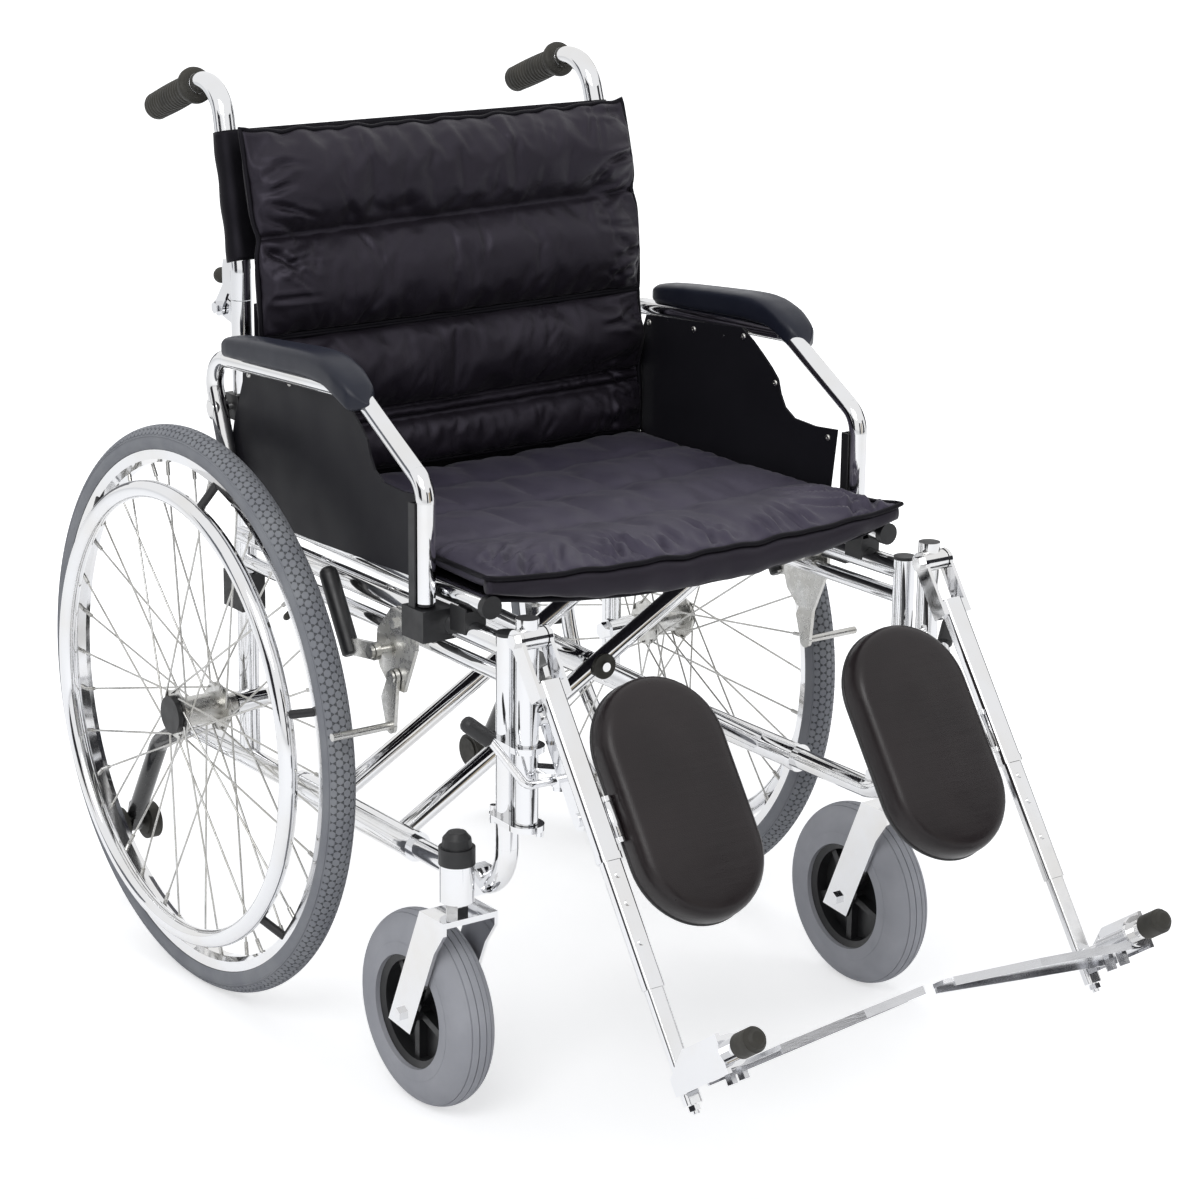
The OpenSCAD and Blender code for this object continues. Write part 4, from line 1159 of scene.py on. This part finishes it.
def seat_hem(u, y):
    """The hem runs nearly level, over a filling that is thickest where
    the sling hangs lowest."""
    w = np.clip(seat_share(y), 0, 1)
    wave = 0.0010 * np.sin(19 * u) + 0.0008 * np.sin(33 * u + 2)
    return SEAT_Z + 0.0205 - 0.0090 * w + 0.0085 * u * u \
        + 0.0030 * seat_ear(u, w) + wave * (1 - u * u)


def seat_front(u, y, rise):
    """Top of the cushion over its hem."""
    bow = 0.005 * (1 - u ** 2) * np.exp(-((y - SEAT_FRONT) / 0.03) ** 2)
    return np.stack([seat_x(u, y), y - bow, seat_hem(u, y) + rise], axis=1)


def seat_rear(u, y, share):
    """Underside, which lies on the sling that hangs between its rails."""
    hem, sling = seat_hem(u, y), SEAT_Z - 0.0095 + 0.025 * u * u
    return np.stack([seat_x(u, y), y, hem - share * (hem - sling)], axis=1)


def seat_height(seams):
    """The seat's channels are shallow dips in one broad pillow."""
    def height(y):
        pillow = np.clip(1 - np.abs(2 * seat_share(y) - 1) ** 7, 0, 1) ** 0.6
        for seam in seams[1:-1]:
            pillow -= 0.34 * np.exp(-((y - seam) / 0.011) ** 2)
        return pillow
    return height


def seat_folds():
    """Folds run off the front hem, its corners and the sides."""
    corner = (SEAT_FRONT + 0.002, SEAT_FRONT + 0.05)
    corner_fold = (0.03, 0.09), (0.003, 0.006), (0.0014, 0.0044)
    side = (SEAT_FRONT + 0.06, SEAT_BACK - 0.02)
    side_fold = (0.02, 0.05), (0.003, 0.005), (0.0008, 0.0022)
    return creases(23, (
        (44, (-0.235, 0.235), (SEAT_FRONT, SEAT_FRONT + 0.006), (58, 122),
         (0.02, 0.070), (0.0026, 0.0052), (0.0016, 0.0050)),
        (12, (-0.235, -0.205), corner, (10, 66), *corner_fold),
        (12, (0.205, 0.235), corner, (114, 170), *corner_fold),
        (10, (-0.246, -0.238), side, (-30, 30), *side_fold),
        (10, (0.238, 0.246), side, (150, 210), *side_fold),
        (40, (-0.22, 0.22), (SEAT_FRONT + 0.05, SEAT_BACK - 0.01),
         (60, 120), (0.02, 0.06), (0.004, 0.008), (0.0003, 0.0010))))


def seat_pad():
    seams = [SEAT_FRONT, SEAT_FRONT + 0.128, SEAT_FRONT + 0.240,
             SEAT_FRONT + 0.348, SEAT_BACK]
    pad = Pad("seat_pad", "seat", SEAT_CLOTH_AND_PAINTED_SHEEN, "seat_cushion",
              2 * SEAT_HALF, seams, cell=0.0062, swell=0.018, groove=0.0,
              front=seat_front, back=seat_rear, height=seat_height(seams),
              side_of=lambda points: points[:, :2].T,
              out=lambda y: np.tile((0.0, 0.0, 1.0), (len(y), 1)))
    piece = pad.build(seat_folds(), 0.011, 0.012)
    pipe = pad.piping("seat_piping", SEAT_FRONT, SEAT_BACK, 80, 60)
    squash_fold(piece, pipe, seat_roll())


def seat_roll():
    """The dark front wall of the cushion, full in the middle and thin at
    its ends."""
    rings = []
    for u in np.linspace(-0.992, 0.992, 110):
        full = 1 - abs(u) ** 3
        high = float(seat_hem(u, SEAT_FRONT)) - 0.0016
        sag = 0.0012 * math.sin(17 * u + 1) + 0.0007 * math.sin(41 * u)
        low = SEAT_Z - 0.0135 + 0.0290 * u * u + sag * full
        ripple = 0.0007 * math.sin(29 * u + 2 * math.sin(6 * u))
        deep = 0.0045 + 0.0075 * full + ripple
        middle = SEAT_FRONT + 0.0045 - 0.0030 * (1 - u * u)
        ring = []
        for t in turns(32):
            c, s = math.cos(t), math.sin(t)
            y = middle - deep * math.copysign(abs(c) ** 0.8, c)
            z = (high + low) / 2 + (high - low) / 2 * math.copysign(
                abs(s) ** 0.9, s)
            ring.append((float(seat_x(u, SEAT_FRONT)), y, z))
        rings.append(ring)
    made = skin("seat_front_roll", rings, BACK_CLOTH, "seat")
    return made


def seat_sling():
    """Cloth between the seat rails, turned under along its front."""
    half = SIDE_X + 0.001
    front, back = AXLE_Y - 0.4575, AXLE_Y - 0.024
    roll, thick, columns = 0.0032, 0.0032, 72
    top, dip = SEAT_Z - 0.0142, 0.024
    # the cloth's section: its top, the roll, the turned-under hem and its
    # underside, as places along and heights
    turn = front + 0.004
    run = [(y, 0.0) for y in np.linspace(back, turn, 36)]
    run += [(turn - roll * math.sin(t), roll * (math.cos(t) - 1))
            for t in np.linspace(0.15, math.pi, 14)]
    run += [(y, -2 * roll) for y in np.linspace(front + 0.012,
                                                front + 0.030, 4)]
    run += [(front + 0.034, -1.2 * roll), (front + 0.036, -thick)]
    run += [(y, -thick) for y in np.linspace(front + 0.05, back, 30)]
    rings = []
    for i in range(columns + 1):
        u = -1 + 2 * i / columns
        # the roll is flatter where it meets the rails
        full = 0.25 + 0.75 * min(1.0, (1 - abs(u)) / 0.07)
        fold = 0.0007 * math.sin(31 * u + 2.0 * math.sin(7 * u))
        rings.append([
            (u * half, y - fold, top + dip * u * u + (
                z if z > -0.004 else (z + thick) * full - thick))
            for y, z in run])
    made = skin("seat_base", rings, SLING_CLOTH, "seat")
    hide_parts("seat_sling")
    squash_fold(made)


# ---- the whole chair ----

set_studio()
for side, sign in SIDES:
    for make in (dress_nodes, rear_tyre, valve, arm_pad, panel_screws,
                 push_grip, calf_pad):
        make(side, sign)
dress_brace()
seat_sling()
seat_pad()
squash_fold(low_sling(), high_sling())
back_pads()
